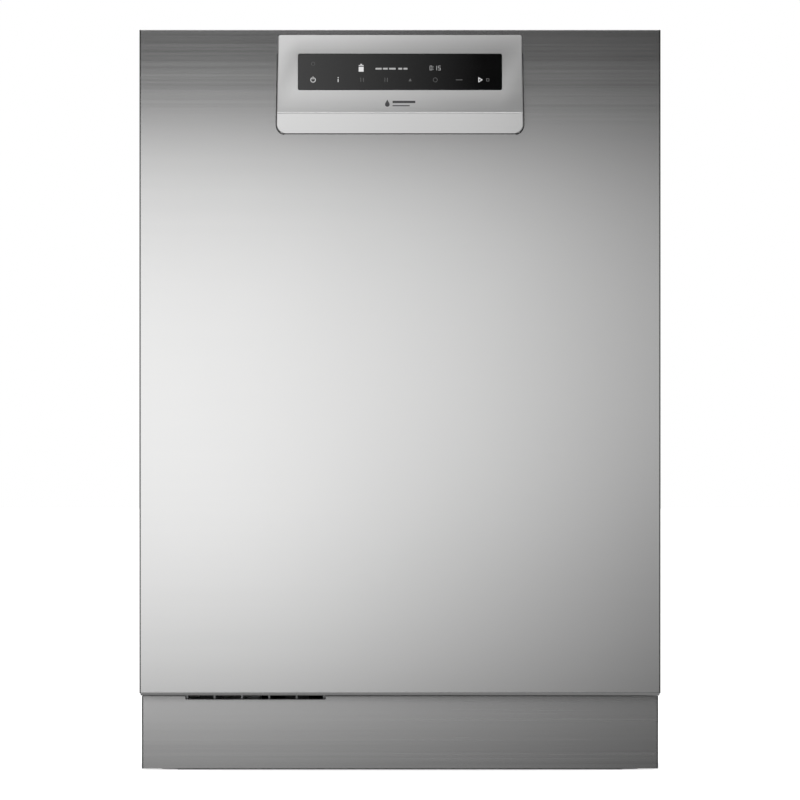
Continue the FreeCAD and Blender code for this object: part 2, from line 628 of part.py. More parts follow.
def spray_arm(z, length, hub_hole, hub_top):
    """Rotating spray arm: tapered hollow blade with nozzle holes and a hub."""
    root, tip, height = 27.0, 17.0, 12.0
    outline = [(-length, -tip), (0.0, -root), (length, -tip), (length, tip), (0.0, root), (-length, tip)]
    points = [FreeCAD.Vector(x, ARM_HUB_Y + y, z) for x, y in outline]
    blade = Part.Face(Part.makePolygon(points + points[:1])).extrude(FreeCAD.Vector(0, 0, height))
    hub = disc((0.0, ARM_HUB_Y), 30.0, (z, hub_top))
    shape = blade.fuse(hub)
    shape = shape.cut(disc((0.0, ARM_HUB_Y), hub_hole, (z - 1, hub_top + 1)))
    for side in SIDES:
        for index in range(6):
            place = (side * (60.0 + 27.0 * index), ARM_HUB_Y + side * 6.0)
            shape = shape.cut(disc(place, 1.6, (z + height - 3.0, z + height + 1)))
    return shape


def inlet_valve():
    """Inlet solenoid valve with its threaded connection at the back."""
    body = box((-232.0, -188.0), (215.0, PANEL_BACK - 4.0), (66.0, 120.0))
    collar = rod((VALVE_X, PANEL_BACK - 4.0, VALVE_Z), (VALVE_X, BACK - CONNECTOR, VALVE_Z), 16.5)
    neck = rod((VALVE_X, BACK - CONNECTOR, VALVE_Z), (VALVE_X, BACK, VALVE_Z), 13.2)
    bore = rod((VALVE_X, PANEL_BACK + 2.0, VALVE_Z), (VALVE_X, BACK + 1, VALVE_Z), 9.0)
    return fuse([body, collar, neck]).cut(bore)


def drain_spigot():
    """Hose spigot of the drain at the back."""
    flange = box((-168.0, -132.0), (PANEL_BACK - 7.0, PANEL_BACK - 4.0), (100.0, 136.0))
    collar = rod((SPIGOT_X, PANEL_BACK - 7.0, SPIGOT_Z), (SPIGOT_X, BACK - CONNECTOR, SPIGOT_Z), 12.5)
    pipe = rod((SPIGOT_X, BACK - CONNECTOR, SPIGOT_Z), (SPIGOT_X, BACK, SPIGOT_Z), 10.0)
    bore = rod((SPIGOT_X, PANEL_BACK - 8.0, SPIGOT_Z), (SPIGOT_X, BACK + 1, SPIGOT_Z), 7.5)
    return fuse([flange, collar, pipe]).cut(bore)


def terminal_box():
    """Mains terminal box with the gland for the supply cord."""
    body = box((GLAND_X - 33.0, GLAND_X + 33.0), (196.0, PANEL_BACK - 4.0), (66.0, 128.0))
    gland = rod((GLAND_X, PANEL_BACK - 4.0, GLAND_Z), (GLAND_X, BACK - 4.0, GLAND_Z), 9.0)
    bore = rod((GLAND_X, PANEL_BACK, GLAND_Z), (GLAND_X, BACK, GLAND_Z), 4.5)
    return body.fuse(gland).cut(bore)


# ---------------------------------------------------------------- racks

def spread(low, high, count):
    """Evenly spaced values, both ends included."""
    return [low + (high - low) * index / (count - 1) for index in range(count)]


def rack_wires(floor_z, rim_z, back, mid_rims):
    """Wires of one open rack: floor grid, uprights and rims, each wire a straight rod in its own layer."""
    step = 2 * WIRE_R
    inner = RACK_HALF - 3 * WIRE_R
    front = RACK_FRONT + 3 * WIRE_R
    rear = back - 3 * WIRE_R
    wires = []
    for x in spread(-inner + step, inner - step, 13):
        wires.append(rod((x, front - WIRE_R, floor_z), (x, rear + WIRE_R, floor_z), WIRE_R))
    for y in spread(front + step, rear - step, 12):
        wires.append(rod((-inner - WIRE_R, y, floor_z + step), (inner + WIRE_R, y, floor_z + step), WIRE_R))
    post_low = floor_z - WIRE_R
    for side in SIDES:
        for y in spread(front + 1.5 * step, rear - 1.5 * step, 8):
            x = side * (inner + 2 * WIRE_R)
            wires.append(rod((x, y, post_low), (x, y, rim_z + WIRE_R), WIRE_R))
    for y in (front - 2 * WIRE_R, rear + 2 * WIRE_R):
        for x in spread(-inner + 1.5 * step, inner - 1.5 * step, 10):
            wires.append(rod((x, y, post_low), (x, y, rim_z + WIRE_R), WIRE_R))
    for z in [rim_z] + mid_rims:
        for side in SIDES:
            wires.append(rod((side * inner, front - WIRE_R, z), (side * inner, rear + WIRE_R, z), WIRE_R))
        for y in (front, rear):
            wires.append(rod((-inner + WIRE_R, y, z), (inner - WIRE_R, y, z), WIRE_R))
    return wires


def plate_tines(xs, ys, z, height):
    """Upright tines that hold plates, standing on the cross wires."""
    return [rod((x, y, z), (x, y, z + height), 1.8) for y in ys for x in xs]


def lower_rack():
    """Lower rack with two fixed rows of plate tines."""
    wires = rack_wires(LOWER_FLOOR_Z, LOWER_RIM_Z, LOWER_BACK, [268.0])
    top = LOWER_FLOOR_Z + 3 * WIRE_R
    front = RACK_FRONT + 3 * WIRE_R
    rear = LOWER_BACK - 3 * WIRE_R
    rows = spread(front + 2 * WIRE_R, rear - 2 * WIRE_R, 12)
    tines = plate_tines(spread(-205.0, -70.0, 6), (rows[2], rows[5], rows[8]), top, 72.0)
    return wires + tines


def wheel_bracket(side, y):
    """Plastic bracket with the stub axle of one rack wheel."""
    plate = side_box(side, (RACK_HALF, 249.8), (y - 13.0, y + 13.0), (WHEEL_Z - 9.0, 232.0))
    stub = rod((side * 249.8, y, WHEEL_Z), (side * 263.0, y, WHEEL_Z), 4.0)
    knob = rod((side * 262.5, y, WHEEL_Z), (side * 264.0, y, WHEEL_Z), 6.0)
    return fuse([plate, stub, knob])


def rack_wheel(side, y):
    """Rack wheel with a running bore and a hollow outer face."""
    wheel = rod((side * WHEEL_X[0], y, WHEEL_Z), (side * WHEEL_X[1], y, WHEEL_Z), WHEEL_R)
    recess = rod((side * 258.0, y, WHEEL_Z), (side * 263.0, y, WHEEL_Z), 13.0)
    hub = rod((side * 257.0, y, WHEEL_Z), (side * WHEEL_X[1], y, WHEEL_Z), 6.5)
    bore = rod((side * 249.0, y, WHEEL_Z), (side * 264.0, y, WHEEL_Z), 4.08)
    return wheel.cut(recess).fuse(hub).cut(bore)


def folding_tines():
    """Row of plate tines on a turning shaft, which folds down backwards."""
    z = LOWER_FLOOR_Z + 3 * WIRE_R + 2.4
    shaft = rod((-30.0, TINE_Y, z), (228.0, TINE_Y, z), 1.9)
    tines = [rod((x, TINE_Y, z), (x, TINE_Y, z + 74.0), 1.9) for x in spread(-22.0, 220.0, 9)]
    return fuse([shaft] + tines)


def cutlery_basket():
    """Open cutlery basket with a divider, slotted floor and handle."""
    x, y, z = (66.0, 226.0), (RACK_FRONT + 18.0, RACK_FRONT + 98.0), (LOWER_FLOOR_Z + 8.0, 320.0)
    basket = shell_box(x, y, z, 2.0, "+z")
    divider = box(x, (sum(y) / 2 - 1, sum(y) / 2 + 1), (z[0], z[1] + 40.0))
    handle_hole = box((116.0, 176.0), (y[0], y[1]), (z[1] + 12.0, z[1] + 32.0))
    shape = fuse([basket, divider]).cut(handle_hole)
    for cx in spread(x[0] + 14.0, x[1] - 14.0, 6):
        for level in (z[0] + 14.0, z[0] + 60.0):
            slot = box((cx - 7.0, cx + 7.0), (y[0] - 1, y[0] + 3), (level, level + 34.0))
            shape = shape.cut(slot)
            shape = shape.cut(slot.translated(FreeCAD.Vector(0, y[1] - y[0] - 2.0, 0)))
    for side_x in (x[0], x[1] - 2.0):
        for cy in (y[0] + 22.0, y[1] - 22.0):
            shape = shape.cut(box((side_x - 1, side_x + 3), (cy - 9.0, cy + 9.0), (z[0] + 14.0, z[1] - 12.0)))
    return shape


def upper_rack():
    """Upper rack with three rows of cup tines."""
    wires = rack_wires(UPPER_FLOOR_Z, UPPER_RIM_Z, UPPER_BACK, [])
    top = UPPER_FLOOR_Z + 3 * WIRE_R
    front = RACK_FRONT + 3 * WIRE_R
    rear = UPPER_BACK - 3 * WIRE_R
    rows = spread(front + 2 * WIRE_R, rear - 2 * WIRE_R, 12)
    tines = plate_tines((-150.0, -40.0, 70.0), rows[1:11:2], top, 52.0)
    return wires + tines


def rail_channel(side, x, height, wall, y):
    """Channel section of a telescopic rail, open towards the middle."""
    outer = side_box(side, x, y, (RAIL_Z - height / 2, RAIL_Z + height / 2))
    hollow = side_box(side, (x[0] - 1, x[1] - wall), (y[0] - 1, y[1] + 1),
                      (RAIL_Z - height / 2 + wall, RAIL_Z + height / 2 - wall))
    return outer.cut(hollow)


def fixed_rail(side):
    """Outer rail on the tub wall."""
    return rail_channel(side, (263.0, TUB_HALF), 30.0, 1.5, (TUB_FRONT + 8.0, 232.0))


def middle_rail(side):
    """Middle member of the telescopic rail."""
    return rail_channel(side, (262.0, 273.0), 26.0, 1.5, (TUB_FRONT + 10.0, 230.0))


def inner_rail(side):
    """Inner member, screwed to the upper rack."""
    bar = side_box(side, (252.0, 271.0), (RACK_FRONT, UPPER_BACK), (RAIL_Z - 9.0, RAIL_Z + 9.0))
    pad = side_box(side, (RACK_HALF, 252.0), (RACK_FRONT + 10.0, UPPER_BACK - 10.0), (RAIL_Z - 6.0, RAIL_Z + 6.0))
    return bar.fuse(pad)


def rack_duct():
    """Water duct under the upper rack, from the rear docking point to the arm hub."""
    low = UPPER_FLOOR_Z - WIRE_R - 10.0
    duct = box((-11.0, 11.0), (ARM_HUB_Y - 14.0, 228.0), (low, low + 10.0))
    socket = box((-20.0, 20.0), (225.0, 233.0), (low - 6.0, low + 14.0))
    pivot = disc((0.0, ARM_HUB_Y), RISER_R, (low - 16.0, low))
    knob = disc((0.0, ARM_HUB_Y), RISER_R + 8.0, (low - 19.0, low - 16.0))
    return fuse([duct, socket, pivot, knob])


def cup_shelf():
    """Fold-up shelf on the right side of the upper rack, with slots and its hinge barrel."""
    y = (RACK_FRONT + 60.0, UPPER_BACK - 60.0)
    plate = box((150.0, 231.0), y, (UPPER_RIM_Z - 14.0, UPPER_RIM_Z - 11.0))
    for center in spread(y[0] + 20.0, y[1] - 20.0, 7):
        plate = plate.cut(box((160.0, 218.0), (center - 7.0, center + 7.0), (UPPER_RIM_Z - 20.0, UPPER_RIM_Z)))
    barrel = rod((231.0, y[0], UPPER_RIM_Z - 12.5), (231.0, y[1], UPPER_RIM_Z - 12.5), 3.0)
    return plate.fuse(barrel)


def main():
    """Write every piece."""
    os.makedirs("parts", exist_ok=True)
    singles = {
        "door_panel": door_panel, "door_liner": door_liner, "door_frame": door_frame,
        "door_insulation": door_insulation, "control_fascia": control_fascia,
        "display_glass": display_glass, "handle_pocket": handle_pocket,
        "control_board": control_board, "door_latch": door_latch, "dispenser_body": dispenser_body,
        "detergent_lid": detergent_lid, "rinse_aid_cap": rinse_aid_cap,
        "base_tray": base_tray, "kick_plate": kick_plate, "kick_strip": kick_strip,
        "vent_grille": vent_grille, "vent_fan_housing": fan_housing, "vent_fan_rotor": fan_rotor,
        "back_panel": back_panel, "top_panel": top_panel, "tub": tub, "tub_insulation": tub_insulation,
        "door_seal": door_seal, "latch_striker": latch_striker,
        "sump": sump, "circulation_pump": circulation_pump, "drain_pump": drain_pump,
        "filter_cup": filter_cup, "filter_plate": filter_plate, "salt_container": salt_container,
        "salt_cap": salt_cap, "air_break_tank": air_break_tank, "feed_pipe": feed_pipe,
        "ceiling_shower": ceiling_shower, "inlet_valve": inlet_valve, "drain_spigot": drain_spigot,
        "terminal_box": terminal_box, "folding_tines": folding_tines, "cutlery_basket": cutlery_basket,
        "rack_duct": rack_duct, "cup_shelf": cup_shelf,
    }
    for name, make in singles.items():
        save(name, [make()])
    pairs = {
        "hinge_arms": hinge_arm, "hinge_pins": hinge_pin, "hinge_brackets": hinge_bracket,
        "door_springs": door_spring, "rails_fixed": fixed_rail,
        "rails_middle": middle_rail, "rails_inner": inner_rail,
    }
    for name, make in pairs.items():
        save(name, [make(side) for side in SIDES])
    save("side_panel_left", [side_panel(-1)])
    save("side_panel_right", [side_panel(1)])
    for name, place in zip(("foot_front_left", "foot_front_right", "foot_rear"), foot_places()):
        save(name, [foot(place)])
    save("lower_spray_arm", [spray_arm(175.5, ARM_LENGTH, RISER_R + CLEAR, 189.0)])
    upper_low = UPPER_FLOOR_Z - WIRE_R - 25.5
    save("upper_spray_arm", [spray_arm(upper_low, ARM_LENGTH, RISER_R + CLEAR, upper_low + 14.0)])
    save("lower_rack", lower_rack())
    save("wheel_brackets", [wheel_bracket(side, y) for y in WHEEL_YS for side in SIDES])
    save("rack_wheels_front", [rack_wheel(side, WHEEL_YS[0]) for side in SIDES])
    save("rack_wheels_rear", [rack_wheel(side, WHEEL_YS[1]) for side in SIDES])
    save("upper_rack", upper_rack())


main()
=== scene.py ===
import json
import math

import bmesh
import bpy
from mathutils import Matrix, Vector


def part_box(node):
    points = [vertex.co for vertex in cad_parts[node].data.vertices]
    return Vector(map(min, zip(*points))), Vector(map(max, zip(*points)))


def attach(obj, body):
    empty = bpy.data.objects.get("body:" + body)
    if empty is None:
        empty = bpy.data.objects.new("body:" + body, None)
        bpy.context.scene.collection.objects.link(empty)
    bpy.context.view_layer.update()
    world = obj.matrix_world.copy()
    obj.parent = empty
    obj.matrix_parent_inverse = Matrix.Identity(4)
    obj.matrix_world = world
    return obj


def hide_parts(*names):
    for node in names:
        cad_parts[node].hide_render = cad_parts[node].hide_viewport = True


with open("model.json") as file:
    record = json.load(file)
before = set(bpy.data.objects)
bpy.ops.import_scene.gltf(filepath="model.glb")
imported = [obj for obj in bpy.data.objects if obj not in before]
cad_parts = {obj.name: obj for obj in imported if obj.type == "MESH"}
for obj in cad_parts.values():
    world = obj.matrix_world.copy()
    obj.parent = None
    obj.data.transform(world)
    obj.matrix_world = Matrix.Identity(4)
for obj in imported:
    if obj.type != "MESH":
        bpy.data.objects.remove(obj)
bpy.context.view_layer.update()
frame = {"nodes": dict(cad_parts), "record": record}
MM = 0.001
SIDES = (-1, 1)
SIDE_PANELS = {-1: "side_panel_left", 1: "side_panel_right"}
NODES = frame["nodes"]
WHITE = (1.0, 1.0, 1.0, 1.0)


def add_object(name, data):
    """New object in the scene."""
    obj = bpy.data.objects.new(name, data)
    bpy.context.scene.collection.objects.link(obj)
    return obj


# ---------------------------------------------------------------- materials

# Band in from the half width where painted shade darkens the side folds of a steel sheet.
EDGE_SHADE_START = 1.9 * MM
EDGE_SHADE_END = 1.0 * MM


def add_node(nodes, kind, **inputs):
    """Adds a shader node and sets its inputs, such as From_Min=0.0 for its From Min."""
    node = nodes.new("ShaderNode" + kind)
    for name, value in inputs.items():
        node.inputs[name.replace("_", " ")].default_value = value
    return node


def calculate(nodes, links, operation, *values):
    """Output of a Math node that works on sockets and plain numbers."""
    node = add_node(nodes, "Math")
    node.operation = operation
    for socket, value in zip(node.inputs, values):
        if isinstance(value, (int, float)):
            socket.default_value = value
        else:
            links.new(value, socket)
    return node.outputs["Value"]


class Graph:
    """A material and the few node patterns that its surfaces are made of."""

    def __init__(self, name, metallic=0.0, roughness=0.5):
        self.material = bpy.data.materials.new(name)
        self.material.use_nodes = True
        self.nodes = self.material.node_tree.nodes
        self.links = self.material.node_tree.links
        self.shader = self.nodes["Principled BSDF"]
        self.shader.inputs["Metallic"].default_value = metallic
        self.shader.inputs["Roughness"].default_value = roughness
        self.place = self.nodes.new("ShaderNodeTexCoord").outputs["Object"]

    def noise(self, stretch, detail=3.0, roughness=0.55):
        mapping = add_node(self.nodes, "Mapping", Scale=stretch)
        self.links.new(self.place, mapping.inputs["Vector"])
        noise = add_node(self.nodes, "TexNoise", Scale=1.0, Detail=detail, Roughness=roughness)
        self.links.new(mapping.outputs["Vector"], noise.inputs["Vector"])
        return noise.outputs["Fac"]

    def cells(self, scale):
        cells = add_node(self.nodes, "TexVoronoi", Scale=scale)
        self.links.new(self.place, cells.inputs["Vector"])
        return cells.outputs["Color"]

    def ramp(self, value, low, high, start=0.25, end=0.75):
        ramp = add_node(self.nodes, "MapRange", From_Min=start, From_Max=end, To_Min=low, To_Max=high)
        self.links.new(value, ramp.inputs["Value"])
        return ramp.outputs["Result"]

    def sum(self, first, second):
        return calculate(self.nodes, self.links, "ADD", first, second)

    def colour(self, value, dark, light):
        mix = add_node(self.nodes, "Mix")
        mix.data_type = "RGBA"
        mix.inputs["A"].default_value = (*dark, 1.0)
        mix.inputs["B"].default_value = (*light, 1.0)
        self.links.new(value, mix.inputs["Factor"])
        self.links.new(mix.outputs["Result"], self.shader.inputs["Base Color"])
        return mix

    def rough(self, value):
        self.links.new(value, self.shader.inputs["Roughness"])

    def paint_edge_shade(self, half, dark):
        """Paints shade into the base colour at the side folds, where the object is half wide: the folds and
        the side faces past them turn dark.
        """
        plain = self.shader.inputs["Base Color"].links[0].from_socket
        split = add_node(self.nodes, "SeparateXYZ")
        self.links.new(self.place, split.inputs["Vector"])
        away = calculate(self.nodes, self.links, "ABSOLUTE", split.outputs["X"])
        # Painted shade mask: 1 at the side folds and on the side faces beyond them.
        edge_shade_mask = self.ramp(away, 0.0, 1.0, half - EDGE_SHADE_START, half - EDGE_SHADE_END)
        self.links.new(plain, self.colour(edge_shade_mask, dark, dark).inputs["A"])

    def bump(self, value, depth, strength):
        bump = add_node(self.nodes, "Bump", Distance=depth, Strength=strength)
        self.links.new(value, bump.inputs["Height"])
        self.links.new(bump.outputs["Normal"], self.shader.inputs["Normal"])


def tone(level, tint=(1.0, 1.0, 1.0)):
    """Colour of one brightness with a slight tint."""
    return tuple(level * part for part in tint)


def brushed_steel(name, level, roughness, grain=(1.6, 1400.0, 1400.0), depth=0.000003, metallic=1.0,
                  contrast=1.0, half=None):
    """Stainless sheet brushed along its grain. With a half width, its side folds get a painted shade line."""
    g = Graph(name, metallic=metallic)
    streaks = g.noise(grain, detail=4.0, roughness=0.7)
    bands = g.noise(tuple(value * 0.22 for value in grain), detail=2.0)
    clouds = g.noise((3.0, 3.0, 3.0), detail=3.0)
    mixed = g.sum(g.ramp(streaks, 0.0, 0.6), g.ramp(bands, 0.0, 0.4))
    g.colour(mixed, tone(level * (1 - 0.05 * contrast), (1.0, 0.998, 0.994)),
             tone(level * (1 + 0.04 * contrast), (1.0, 1.0, 0.998)))
    g.rough(g.sum(g.ramp(mixed, roughness - 0.03 * contrast, roughness + 0.03 * contrast),
                  g.ramp(clouds, -0.012, 0.015)))
    g.bump(mixed, depth, 0.5)
    if half:
        # Painted shade: near black at the side folds.
        g.paint_edge_shade(half, tone(0.08))
    return g.material


def galvanised(name, level):
    """Zinc coated sheet with soft spangles."""
    g = Graph(name, metallic=0.7)
    spangle = g.cells(70.0)
    fine = g.noise((260.0, 260.0, 260.0), detail=3.0)
    clouds = g.noise((5.0, 5.0, 5.0), detail=4.0)
    mixed = g.sum(g.ramp(spangle, 0.0, 0.55, 0.0, 1.0), g.ramp(clouds, 0.0, 0.45))
    g.colour(mixed, tone(level * 0.82, (0.98, 1.0, 1.02)), tone(level * 1.08, (0.99, 1.0, 1.02)))
    g.rough(g.sum(g.ramp(mixed, 0.36, 0.50), g.ramp(fine, -0.03, 0.03)))
    g.bump(fine, 0.00003, 0.4)
    return g.material


def plastic(name, colour, roughness=0.45, grain=900.0, depth=0.00004):
    """Moulded plastic with a fine spark-eroded texture and slight shade changes."""
    g = Graph(name)
    fine = g.noise((grain, grain, grain), detail=3.0, roughness=0.6)
    clouds = g.noise((14.0, 14.0, 14.0), detail=3.0)
    g.colour(g.ramp(clouds, 0.0, 1.0), tone(0.90, colour), tone(1.08, colour))
    g.rough(g.sum(g.ramp(fine, roughness - 0.06, roughness + 0.06), g.ramp(clouds, -0.03, 0.04)))
    g.bump(fine, depth, 0.5)
    return g.material


def rubber(name, colour):
    """Matt rubber with dust in its pores."""
    g = Graph(name)
    pores = g.noise((1200.0, 1200.0, 1200.0), detail=2.0)
    dust = g.noise((30.0, 30.0, 30.0), detail=5.0)
    g.colour(g.ramp(dust, 0.0, 1.0, 0.35, 0.8), colour, tone(1.9, colour))
    g.rough(g.ramp(dust, 0.62, 0.80))
    g.bump(pores, 0.00006, 0.5)
    return g.material


def felt(name, colour):
    """Pressed fibre felt."""
    g = Graph(name)
    fibres = g.noise((350.0, 350.0, 900.0), detail=6.0, roughness=0.8)
    patches = g.noise((18.0, 18.0, 18.0), detail=4.0)
    g.colour(g.sum(g.ramp(fibres, 0.0, 0.6), g.ramp(patches, 0.0, 0.4)), tone(0.6, colour), tone(1.5, colour))
    g.rough(g.ramp(fibres, 0.85, 1.0))
    g.bump(fibres, 0.0006, 0.8)
    g.shader.inputs["Sheen Weight"].default_value = 0.25
    return g.material


def black_glass(name):
    """Polished black glass with faint smears."""
    g = Graph(name, roughness=0.05)
    smears = g.noise((9.0, 9.0, 40.0), detail=5.0, roughness=0.6)
    g.colour(g.ramp(smears, 0.0, 1.0), (0.0008, 0.0008, 0.0009), (0.0016, 0.0016, 0.0017))
    g.rough(g.ramp(smears, 0.03, 0.07))
    g.shader.inputs["IOR"].default_value = 1.52
    return g.material


def printed(name, level, glow):
    """Light printed symbol, lit from behind."""
    g = Graph(name, roughness=0.4)
    speck = g.noise((2500.0, 2500.0, 2500.0), detail=2.0)
    g.colour(g.ramp(speck, 0.0, 1.0), tone(level * 0.9), tone(level))
    g.shader.inputs["Emission Color"].default_value = WHITE
    g.shader.inputs["Emission Strength"].default_value = glow
    return g.material


def circuit(name):
    """Green solder mask with copper traces under it."""
    g = Graph(name, roughness=0.35)
    traces = g.noise((120.0, 120.0, 900.0), detail=1.0)
    g.colour(g.ramp(traces, 0.0, 1.0, 0.45, 0.55), (0.008, 0.07, 0.03), (0.03, 0.16, 0.07))
    g.rough(g.ramp(traces, 0.25, 0.4))
    g.bump(traces, 0.00004, 0.6)
    return g.material


MATERIALS = {
    "door_steel": brushed_steel("door_brushed_steel", 0.66, 0.21, depth=0.000002, contrast=0.7,
                                half=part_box("door_panel")[1].x),
    "fascia_steel": brushed_steel("fascia_brushed_steel", 0.68, 0.30, grain=(3.0, 1500.0, 1500.0),
                                  depth=0.0000008, contrast=0.4),
    "plinth_steel": brushed_steel("plinth_brushed_steel", 0.59, 0.24, half=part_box("kick_plate")[1].x),
    "tub_steel": brushed_steel("tub_rolled_steel", 0.74, 0.32, grain=(60.0, 60.0, 60.0), depth=0.000002,
                               metallic=0.62),
    "black_glass": black_glass("black_glass_surface"),
    "galvanised": galvanised("galvanised_sheet", 0.58),
    "zinc_steel": galvanised("zinc_plated", 0.66),
    "black_plastic": plastic("black_moulding", (0.022, 0.022, 0.023)),
    "grey_plastic": plastic("grey_moulding", (0.22, 0.225, 0.23)),
    "white_plastic": plastic("white_moulding", (0.72, 0.72, 0.70), 0.38),
    "blue_plastic": plastic("blue_moulding", (0.05, 0.13, 0.30), 0.38),
    "rubber": rubber("black_rubber", (0.025, 0.025, 0.026)),
    "coated_wire": plastic("nylon_coating", (0.30, 0.31, 0.325), 0.32, 500.0, 0.00002),
    "felt": felt("bitumen_felt", (0.055, 0.05, 0.047)),
    "circuit_board": circuit("solder_mask"),
    "foot_plastic": plastic("foot_moulding", (0.035, 0.035, 0.037), 0.4),
}
SLOT_OF = {row["node"]: row["material_slot"] for row in frame["record"]["subparts"]}
BODY_OF = {node: body for body, names in frame["record"]["behaviour"]["bodies"].items() for node in names}


def paint(obj, material):
    """Puts one material on a piece."""
    obj.data.materials.clear()
    obj.data.materials.append(material)


# ---------------------------------------------------------------- mesh helpers

def piece(name, verts, faces, node, slot=None, replaces=True, material=None):
    """Mesh piece that rides with a CAD node's body and takes that node's finish."""
    mesh = bpy.data.meshes.new(name)
    mesh.from_pydata([tuple(v) for v in verts], [], faces)
    mesh.validate()
    bm = bmesh.new()
    bm.from_mesh(mesh)
    bmesh.ops.remove_doubles(bm, verts=bm.verts, dist=0.000002)
    bmesh.ops.recalc_face_normals(bm, faces=bm.faces)
    bm.to_mesh(mesh)
    bm.free()
    return settle(add_object(name, mesh), node, slot, replaces, material)


def settle(obj, node, slot=None, replaces=True, material=None):
    """Rides, finishes, and hides the CAD node that a new piece replaces."""
    slot = slot or SLOT_OF[node]
    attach(obj, BODY_OF[node])
    if replaces:
        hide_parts(node)
    paint(obj, material or MATERIALS[slot])
    return obj


def smooth(obj, angle):
    """Shades a piece smooth apart from edges sharper than an angle in degrees."""
    for polygon in obj.data.polygons:
        polygon.use_smooth = True
    obj.data.set_sharp_from_angle(angle=math.radians(angle))
    return obj


def thicken(obj, thickness, offset=0.0):
    """Gives a surface the thickness of its sheet."""
    wall = obj.modifiers.new("sheet", "SOLIDIFY")
    wall.thickness = thickness
    wall.offset = offset
    return obj


def even_normals(obj):
    """Lets the large faces of a piece set its shading, so that flat faces stay flat."""
    weighted = obj.modifiers.new("even_normals", "WEIGHTED_NORMAL")
    weighted.keep_sharp = True
    weighted.weight = 90


def soften(obj, width):
    """Rounds the edges of a piece that keeps its CAD shape."""
    weld = obj.modifiers.new("weld", "WELD")
    weld.merge_threshold = 0.01 * MM
    bevel = obj.modifiers.new("rounded_edges", "BEVEL")
    bevel.width = width
    bevel.segments = 2
    bevel.limit_method = "ANGLE"
    bevel.angle_limit = math.radians(30.0)
    bevel.harden_normals = True
    bevel.use_clamp_overlap = True
    bevel.miter_outer = "MITER_ARC"


def mm(*points):
    """Points given in millimetres."""
    return [tuple(value * MM for value in point) for point in points]


def grid_faces(rows, columns, skip=()):
    """Quads between rows of points, apart from the cells that are left open."""
    faces = []
    for i in range(rows - 1):
        for j in range(columns - 1):
            if (i, j) not in skip:
                a = i * columns + j
                faces.append((a, a + 1, a + columns + 1, a + columns))
    return faces


def ring_faces(rings, count):
    """Quads between closed rings of count points each."""
    faces = []
    for i in range(rings - 1):
        for j in range(count):
            k = (j + 1) % count
            faces.append((i * count + j, i * count + k, (i + 1) * count + k, (i + 1) * count + j))
    return faces


def arc(center, radius, start, end, steps):
    """Points of an arc in a plane, angles in degrees."""
    angles = [math.radians(start + (end - start) * index / steps) for index in range(steps + 1)]
    return [(center[0] + radius * math.cos(angle), center[1] + radius * math.sin(angle)) for angle in angles]


def rounded_rectangle(low, high, radius, steps):
    """Outline in a plane, from its low to its high corner, with round corners."""
    outline = []
    for cx, cy, start in ((high[0] - radius, high[1] - radius, 0), (low[0] + radius, high[1] - radius, 90),
                          (low[0] + radius, low[1] + radius, 180), (high[0] - radius, low[1] + radius, 270)):
        outline += arc((cx, cy), radius, start, start + 90, steps)
    return outline


# ---------------------------------------------------------------- fascia

FASCIA_LOW, FASCIA_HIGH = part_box("control_fascia")
GLASS_LOW, GLASS_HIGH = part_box("display_glass")
FACE_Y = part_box("door_panel")[0].y
FRONT_Y = FASCIA_LOW.y
RIDGE_Z = FASCIA_LOW.z + 22.5 * MM
STEP = 0.6 * MM
TOP_PROUD = 3.0 * MM
LIP_SETBACK = 4.0 * MM
WALL = 2.5 * MM
EDGE_R = 1.3 * MM
LOW_CORNER_R = 10.5 * MM
TOP_CORNER_R = 2.5 * MM
WINDOW_GAP = 0.25 * MM
WINDOW_HALF = GLASS_HIGH.x + WINDOW_GAP
WINDOW_LOW_Z, WINDOW_HIGH_Z = GLASS_LOW.z - WINDOW_GAP, GLASS_HIGH.z + WINDOW_GAP


def fascia_front(z):
    """Front of the fascia at a height: a long slope above a small step, and the lip below it."""
    if z <= RIDGE_Z:
        return FRONT_Y + (RIDGE_Z - z) * LIP_SETBACK / (RIDGE_Z - FASCIA_LOW.z)
    slope = (z - RIDGE_Z) * (FACE_Y - TOP_PROUD - FRONT_Y - STEP) / (FASCIA_HIGH.z - RIDGE_Z)
    rise = min(1.0, (z - RIDGE_Z) / (1.4 * MM))
    return FRONT_Y + slope + STEP * math.sin(rise * math.pi / 2)


def corner_inset(distance, radius):
    """How far a round corner pulls an edge in, at a distance from the edge that it runs into."""
    if distance >= radius:
        return 0.0
    return radius - math.sqrt(max(0.0, radius ** 2 - (radius - distance) ** 2))


def fascia_half(z):
    """Half width of the fascia at a height: it tapers upwards and has round corners."""
    taper = 2.2 * MM
    share = (z - FASCIA_LOW.z) / (FASCIA_HIGH.z - FASCIA_LOW.z)
    return (FASCIA_HIGH.x - taper * share - corner_inset(z - FASCIA_LOW.z, LOW_CORNER_R)
            - corner_inset(FASCIA_HIGH.z - z, TOP_CORNER_R))


def fascia_rows():
    """Heights of the fascia's cross-sections, closest together where it curves."""
    heights = [FASCIA_LOW.z + LOW_CORNER_R * (1 - math.cos(math.radians(7.5 * i))) for i in range(13)]
    near_ridge = (-4, -1.2, -0.5, 0, 0.25, 0.5, 0.75, 1.0, 1.2, 1.4, 1.8, 3)
    heights += [RIDGE_Z + offset * MM for offset in near_ridge]
    heights += [WINDOW_LOW_Z, WINDOW_HIGH_Z]
    heights += [FASCIA_HIGH.z - TOP_CORNER_R * (1 - math.sin(math.radians(15 * i))) for i in range(7)]
    return sorted(heights)


def fascia_section(z, back_y):
    """Points across the fascia at one height, from the left rear edge round the front to the right."""
    half = fascia_half(z)
    front = fascia_front(z)
    left = [(-half, back_y), (-half, front + EDGE_R)]
    left += arc((-half + EDGE_R, front + EDGE_R), EDGE_R, 180, 270, 4)[1:]
    left += [(-min(WINDOW_HALF, half - 2 * EDGE_R), front)]
    right = [(-x, y) for x, y in reversed(left)]
    return [(x, y, z) for x, y in left + right]


